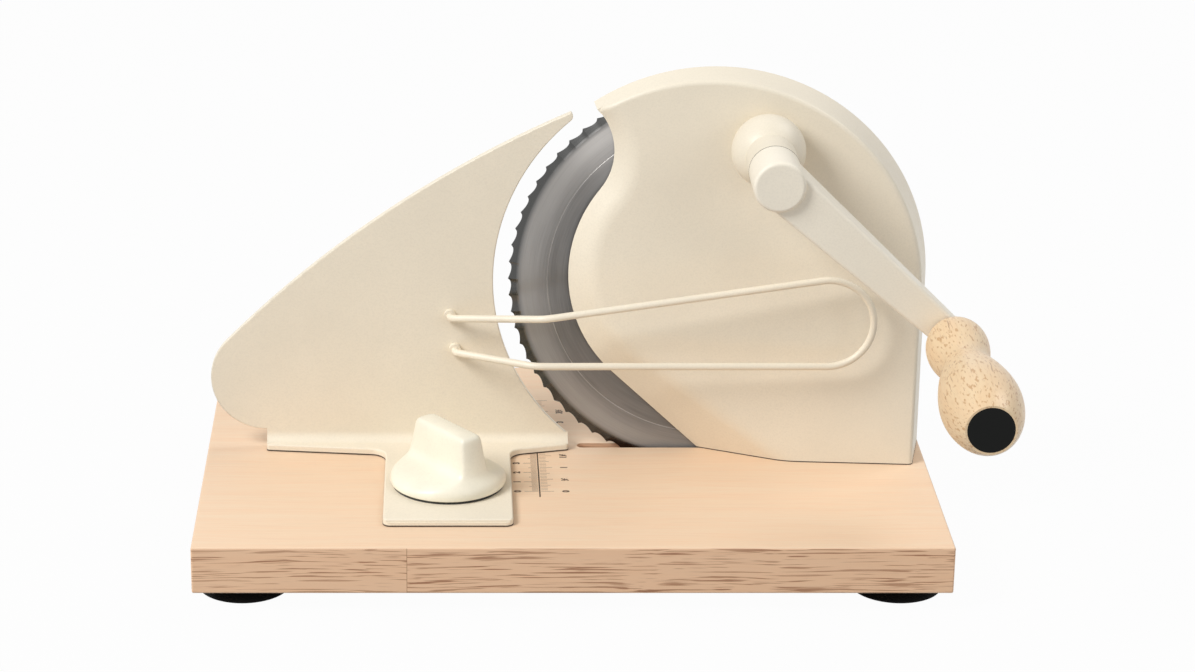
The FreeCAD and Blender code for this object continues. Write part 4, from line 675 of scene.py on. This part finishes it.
# Power under 1, by which a wave's hollow leans towards the tooth before it.
WAVE_LEAN = 0.68
# Radius of the hole, a hair over the bush's outer wall.
BLADE_BORE = 0.00756
# Depth of the turned line as a share of half its width.
LINE_GROOVE = 0.8
BLADE_CRISP = 9


def blade_places(radius_at, y, count):
    """Ring of places round the blade's axis at one depth."""
    ring = []
    for i in range(count):
        turn = math.tau * i / count
        radius = radius_at(turn)
        ring.append(BLADE_AXIS + Vector((radius * math.cos(turn), y - BLADE_AXIS.y,
                                         radius * math.sin(turn))))
    return ring


class SLICER_OT_blade(bpy.types.Operator):
    """Wavy blade with its ground bevel and turned line, its gear, bush, rivets and axle"""

    bl_idname = "slicer.blade"
    bl_label = "Blade and gear"

    def execute(self, context):
        sizes, colours = context.scene.slicer_sizes, context.scene.slicer_colours
        low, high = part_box("blade")
        outer = (high.x - low.x) / 2
        front, back = low.y, high.y
        count = sizes.blade_waves * BLADE_WAVE_STEPS
        line, half = sizes.line_radius, sizes.line_width / 2

        def even(radius):
            return lambda turn: radius

        def toothed(turn):
            share = ((turn * sizes.blade_waves / math.tau) % 1) ** WAVE_LEAN
            return outer - sizes.wave_depth * (1 - (2 * share - 1) ** 2)

        steps = [(even(line - half), front), (even(line), front + half * LINE_GROOVE),
                 (even(line + half), front), (even(sizes.bevel_start), front),
                 (toothed, back - sizes.edge_thickness), (toothed, back),
                 (even(BLADE_BORE), back)]
        mesh, inner = ring_start(blade_places(even(BLADE_BORE), front, count))
        drawn_up(mesh, inner, [blade_places(radius_at, y, count) for radius_at, y in steps])
        open_edges = [edge for edge in mesh.edges if len(edge.link_faces) == 1]
        bmesh.ops.bridge_loops(mesh, edges=open_edges)
        tidy_closed(mesh)
        smooth(mesh, BLADE_CRISP)
        piece("blade_disc", mesh, "blade", blade_finish(colours, sizes),
              ["blade"])
        dress(nylon(), "blade_gear", "crank_pinion")
        dress(bronze(), "blade_bush", "crank_bush_front", "crank_bush_rear")
        dress(plated(), "blade_rivets", "blade_axle")
        return {"FINISHED"}


class SLICER_OT_housing(bpy.types.Operator):
    """Cast and painted housing with its screws"""

    bl_idname = "slicer.housing"
    bl_label = "Housing"

    def execute(self, context):
        dress(enamel(context), "housing_shell")
        dress(plated(), "housing_screws")
        # Painted contact shadow along the housing's foot on the board.
        contact_seam(context, "housing_contact_shadow", "housing_shell", "root")
        return {"FINISHED"}


# How far the hub's dark ring, painted shadow in the gap where the hub meets its boss, stands
# out, how deep it reaches in and how wide it is.
HUB_SHADOW_REACH = 0.00006
HUB_SHADOW_DEPTH = 0.0012
HUB_SHADOW_WIDTH = 0.00030


class SLICER_OT_crank(bpy.types.Operator):
    """Painted crank arm with its hub cap, and the shaft and screw inside it"""

    bl_idname = "slicer.crank"
    bl_label = "Crank arm"

    def execute(self, context):
        paint = context.scene.slicer_colours.crank_enamel
        dress(finished(enamel_finish, "cream_crank_enamel", paint), "crank_arm", "crank_cap")
        dress(plated(), "crank_shaft", "crank_screw", "handle_spindle", "spindle_washers")
        # Painted shadow: a dark ring in the gap at the back of the hub, where it meets the
        # boss.
        low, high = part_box("crank_cap")
        radius = (high.x - low.x) / 2 + HUB_SHADOW_REACH
        ring = flat_ring(radius - HUB_SHADOW_DEPTH, radius, -HUB_SHADOW_WIDTH / 2,
                         HUB_SHADOW_WIDTH / 2)
        axis = middle("crank_cap")
        place = Matrix.Translation((axis.x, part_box("crank_arm")[1].y, axis.z))
        bmesh.ops.transform(ring, matrix=place @ Matrix.Rotation(math.radians(90), 4, "X"),
                            verts=ring.verts)
        piece("hub_gap_shadow", ring, "crank", dark_seam(context))
        return {"FINISHED"}


class SLICER_OT_handle(bpy.types.Operator):
    """Turned wooden handle with its black end cap"""

    bl_idname = "slicer.handle"
    bl_label = "Handle"

    def execute(self, context):
        colours = context.scene.slicer_colours
        dress(handle_finish(colours), "handle_grip")
        dress(finished(moulded_finish, "smooth_black_cap", colours.cap, 0.35,
                       {"Specular_IOR_Level": 0.15}, 0.00001),
              "handle_end_cap")
        return {"FINISHED"}


class SLICER_OT_fence(bpy.types.Operator):
    """Painted fence plate with its wire slice guard"""

    bl_idname = "slicer.fence"
    bl_label = "Fence and guard"

    def execute(self, context):
        dress(enamel(context), "fence_plate", "wire_guard", "guard_collars")
        # Painted contact shadow along the fence plate's foot on the board.
        contact_seam(context, "fence_contact_shadow", "fence_plate", "fence")
        return {"FINISHED"}


# Height above the knob's underside, radius of its round wall and half the width between its
# scoops, in millimetres.
KNOB_LEVELS = (
    (0.0, 22.7, 40.0), (0.35, 23.35, 40.0), (1.0, 23.6, 40.0), (2.2, 23.55, 27.0),
    (3.0, 23.4, 24.3), (3.8, 23.1, 22.3), (4.6, 22.6, 19.9), (5.4, 21.9, 17.1),
    (6.2, 21.2, 14.1), (7.0, 20.6, 11.3), (7.8, 20.1, 9.1), (8.7, 19.7, 7.6),
    (9.8, 19.35, 6.8), (12.0, 18.8, 6.35), (15.0, 18.1, 6.0), (18.0, 17.5, 5.7),
    (21.0, 16.9, 5.35), (22.3, 16.6, 5.1), (23.1, 16.2, 4.7), (23.7, 15.6, 4.1),
    (24.0, 14.8, 3.3))
KNOB_STEPS = 192
KNOB_TURN = math.radians(-53)
# Power that blends the round wall into the scoops: more gives a sharper corner.
KNOB_CORNER = 14
KNOB_CRISP = 40


def knob_places(height, radius, half_width):
    """Ring of places at one level of the knob: a circle with its two sides scooped away."""
    ring = []
    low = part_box("clamp_knob")[0].z
    for i in range(KNOB_STEPS):
        turn = math.tau * (i + 0.5) / KNOB_STEPS
        side = abs(math.sin(turn)) / half_width
        reach = (radius ** -KNOB_CORNER + side ** KNOB_CORNER) ** (-1 / KNOB_CORNER)
        ring.append(Vector((CLAMP_AXIS.x + reach * MM * math.cos(turn + KNOB_TURN),
                            CLAMP_AXIS.y + reach * MM * math.sin(turn + KNOB_TURN),
                            low + height * MM)))
    return ring


# Radius of the black ring that shows under the knob, painted shade in the gap below its skirt,
# and its lap over the washer's edge.
KNOB_GAP_SHADOW_RADIUS = 0.0226
WASHER_LAP = 0.0001


class SLICER_OT_clamp(bpy.types.Operator):
    """Moulded clamp knob, with the stud, washer and nut plate that hold the fence"""

    bl_idname = "slicer.clamp"
    bl_label = "Clamp knob"

    def execute(self, context):
        colours = context.scene.slicer_colours
        rings = [knob_places(*level) for level in KNOB_LEVELS]
        mesh, bottom = ring_start(rings[0])
        top = drawn_up(mesh, bottom, rings[1:])
        mesh.faces.new(top)
        mesh.faces.new(bottom)
        tidy_closed(mesh)
        smooth(mesh, KNOB_CRISP)
        moulded = finished(moulded_finish, "cream_moulded", colours.moulded, 0.38)
        piece("grip_knob", mesh, "knob", moulded, ["clamp_knob"])
        washer_and_gap_shade = finished(moulded_finish, "black_fibre", tinted(colours.rubber, 1.5), 0.5)
        dress(washer_and_gap_shade, "clamp_washer")
        # Painted shade: a black ring from the washer's edge out under the knob's skirt, where
        # the gap under the knob lies in shade.
        low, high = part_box("clamp_washer")
        inner = (high.x - low.x) / 2 - WASHER_LAP
        rim = flat_ring(inner, KNOB_GAP_SHADOW_RADIUS, 0, high.z - low.z)
        bmesh.ops.translate(rim, verts=rim.verts, vec=(CLAMP_AXIS.x, CLAMP_AXIS.y, low.z))
        piece("knob_gap_shadow_ring", rim, "fence", washer_and_gap_shade)
        dress(plated(), "clamp_stud", "clamp_nut_plate")
        dress(nylon(), "fence_guide")
        return {"FINISHED"}


# ---------------------------------------------------------------- stage


CAMERA_PLACE = (-0.0576, -1.2475, 0.5492)
CAMERA_PITCH = math.radians(69.8)
CAMERA_LENS = 98.75
CAMERA_SHIFT = 0.1259
CAMERA_CLIP = (0.05, 50)
FLOOR_SIZE = 12
# Share of plain white in the floor as the camera sees it: the rest holds the shadow.
FLOOR_WHITE = 0.97
WORLD_LIGHT = 0.32
LAMP_AIM = (0, 0, 0.08)
# Name, place, size and power of each soft lamp.
LAMPS = (
    ("key", (-1.30, -0.80, 1.45), 0.9, 33.0),
    ("fill", (1.2, -1.3, 0.8), 1.0, 4.0),
    ("rim", (0.95, 0.35, 1.25), 0.8, 6.0))


def seen_directly(tree):
    """1 where the camera, a reflection or a clear material sees the surface, else 0."""
    path = tree.nodes.new("ShaderNodeLightPath")
    total = path.outputs["Is Camera Ray"]
    for name in ("Is Glossy Ray", "Is Transmission Ray"):
        step = tree.nodes.new("ShaderNodeMath")
        step.operation = "MAXIMUM"
        tree.links.new(total, step.inputs[0])
        tree.links.new(path.outputs[name], step.inputs[1])
        total = step.outputs[0]
    return total


def floor_finish(tone):
    """Pale floor that reads white and still holds a soft shadow."""
    paper = Finish("studio_paper", tone, 0.9)
    grain = paper.noise(paper.place, scale=240, detail=3)
    paper.set(Base_Color=paper.layered(tone, (grain, 0.3, 0.7, 1, tinted(tone, 0.985))),
              Normal=paper.bump(grain, depth=0.0001, strength=0.1))
    white = paper.add("Emission", Color=(1, 1, 1), Strength=1.0)
    share = paper.calc("MULTIPLY", seen_directly(paper.tree), FLOOR_WHITE)
    blend = paper.add("MixShader")
    paper.fill(blend, {"i0": share, "i1": paper.shader.outputs[0], "i2": white.outputs[0]})
    output = paper.tree.nodes["Material Output"]
    paper.tree.links.new(blend.outputs[0], output.inputs["Surface"])
    return paper.material


def add_lamp(scene, name, place, size, power):
    """A soft round lamp that looks at the slicer."""
    lamp = bpy.data.lights.new(name, "AREA")
    lamp.shape = "DISK"
    lamp.size = size
    lamp.energy = power
    shown = bpy.data.objects.new(name, lamp)
    shown.location = place
    aim = Vector(LAMP_AIM) - Vector(place)
    shown.rotation_euler = aim.to_track_quat("-Z", "Y").to_euler()
    scene.collection.objects.link(shown)


def add_surroundings(scene):
    """White surroundings that light the slicer only faintly."""
    world = bpy.data.worlds.new("studio")
    scene.world = world
    world.use_nodes = True
    tree = world.node_tree
    faint = tree.nodes["Background"]
    white = tree.nodes.new("ShaderNodeBackground")
    for around, strength in ((faint, WORLD_LIGHT), (white, 1.0)):
        around.inputs["Color"].default_value = (1, 1, 1, 1)
        around.inputs["Strength"].default_value = strength
    blend = tree.nodes.new("ShaderNodeMixShader")
    tree.links.new(seen_directly(tree), blend.inputs[0])
    tree.links.new(faint.outputs[0], blend.inputs[1])
    tree.links.new(white.outputs[0], blend.inputs[2])
    tree.links.new(blend.outputs[0], tree.nodes["World Output"].inputs["Surface"])


def add_floor(scene):
    """Wide flat floor under the slicer."""
    mesh = bmesh.new()
    bmesh.ops.create_grid(mesh, x_segments=1, y_segments=1, size=FLOOR_SIZE / 2)
    data = bpy.data.meshes.new("studio_floor")
    mesh.to_mesh(data)
    mesh.free()
    data.materials.append(floor_finish(scene.slicer_colours.floor))
    floor = bpy.data.objects.new("studio_floor", data)
    scene.collection.objects.link(floor)


def add_camera(scene):
    """Camera at the photograph's viewing angle."""
    camera = bpy.data.cameras.new("camera")
    camera.lens = CAMERA_LENS
    camera.shift_x = CAMERA_SHIFT
    camera.clip_start, camera.clip_end = CAMERA_CLIP
    shown = bpy.data.objects.new("camera", camera)
    shown.location = CAMERA_PLACE
    shown.rotation_euler = (CAMERA_PITCH, 0, 0)
    scene.collection.objects.link(shown)
    scene.camera = shown


class SLICER_OT_stage(bpy.types.Operator):
    """Pale floor, soft lamps, white surroundings and the camera"""

    bl_idname = "slicer.stage"
    bl_label = "Stage"

    def execute(self, context):
        scene = context.scene
        add_floor(scene)
        for lamp in LAMPS:
            add_lamp(scene, *lamp)
        add_surroundings(scene)
        add_camera(scene)
        scene.view_settings.view_transform = "Standard"
        return {"FINISHED"}


# ---------------------------------------------------------------- panel and run


OPERATORS = (SLICER_OT_board, SLICER_OT_feet, SLICER_OT_housing, SLICER_OT_blade,
             SLICER_OT_crank, SLICER_OT_handle, SLICER_OT_fence, SLICER_OT_clamp,
             SLICER_OT_stage)


class SLICER_PT_panel(bpy.types.Panel):
    """Sizes, colours and pieces of the bread slicer"""

    bl_idname = "SLICER_PT_panel"
    bl_label = "Bread slicer"
    bl_space_type = "VIEW_3D"
    bl_region_type = "UI"
    bl_category = "Slicer"

    def draw(self, context):
        for group in (context.scene.slicer_sizes, context.scene.slicer_colours):
            box = self.layout.box()
            for name in group.__annotations__:
                box.prop(group, name)
        for operator in OPERATORS:
            self.layout.operator(operator.bl_idname)


CLASSES = (SlicerSizes, SlicerColours, *OPERATORS, SLICER_PT_panel)


def register():
    """Adds the sizes, colours, operators and panel to Blender."""
    for item in CLASSES:
        bpy.utils.register_class(item)
    bpy.types.Scene.slicer_sizes = PointerProperty(type=SlicerSizes)
    bpy.types.Scene.slicer_colours = PointerProperty(type=SlicerColours)


def unregister():
    """Takes them out again."""
    del bpy.types.Scene.slicer_colours
    del bpy.types.Scene.slicer_sizes
    for item in reversed(CLASSES):
        bpy.utils.unregister_class(item)


def main():
    """Makes every piece and the stage."""
    register()
    for operator in OPERATORS:
        group, name = operator.bl_idname.split(".")
        getattr(getattr(bpy.ops, group), name)()


if __name__ == "__main__":
    main()
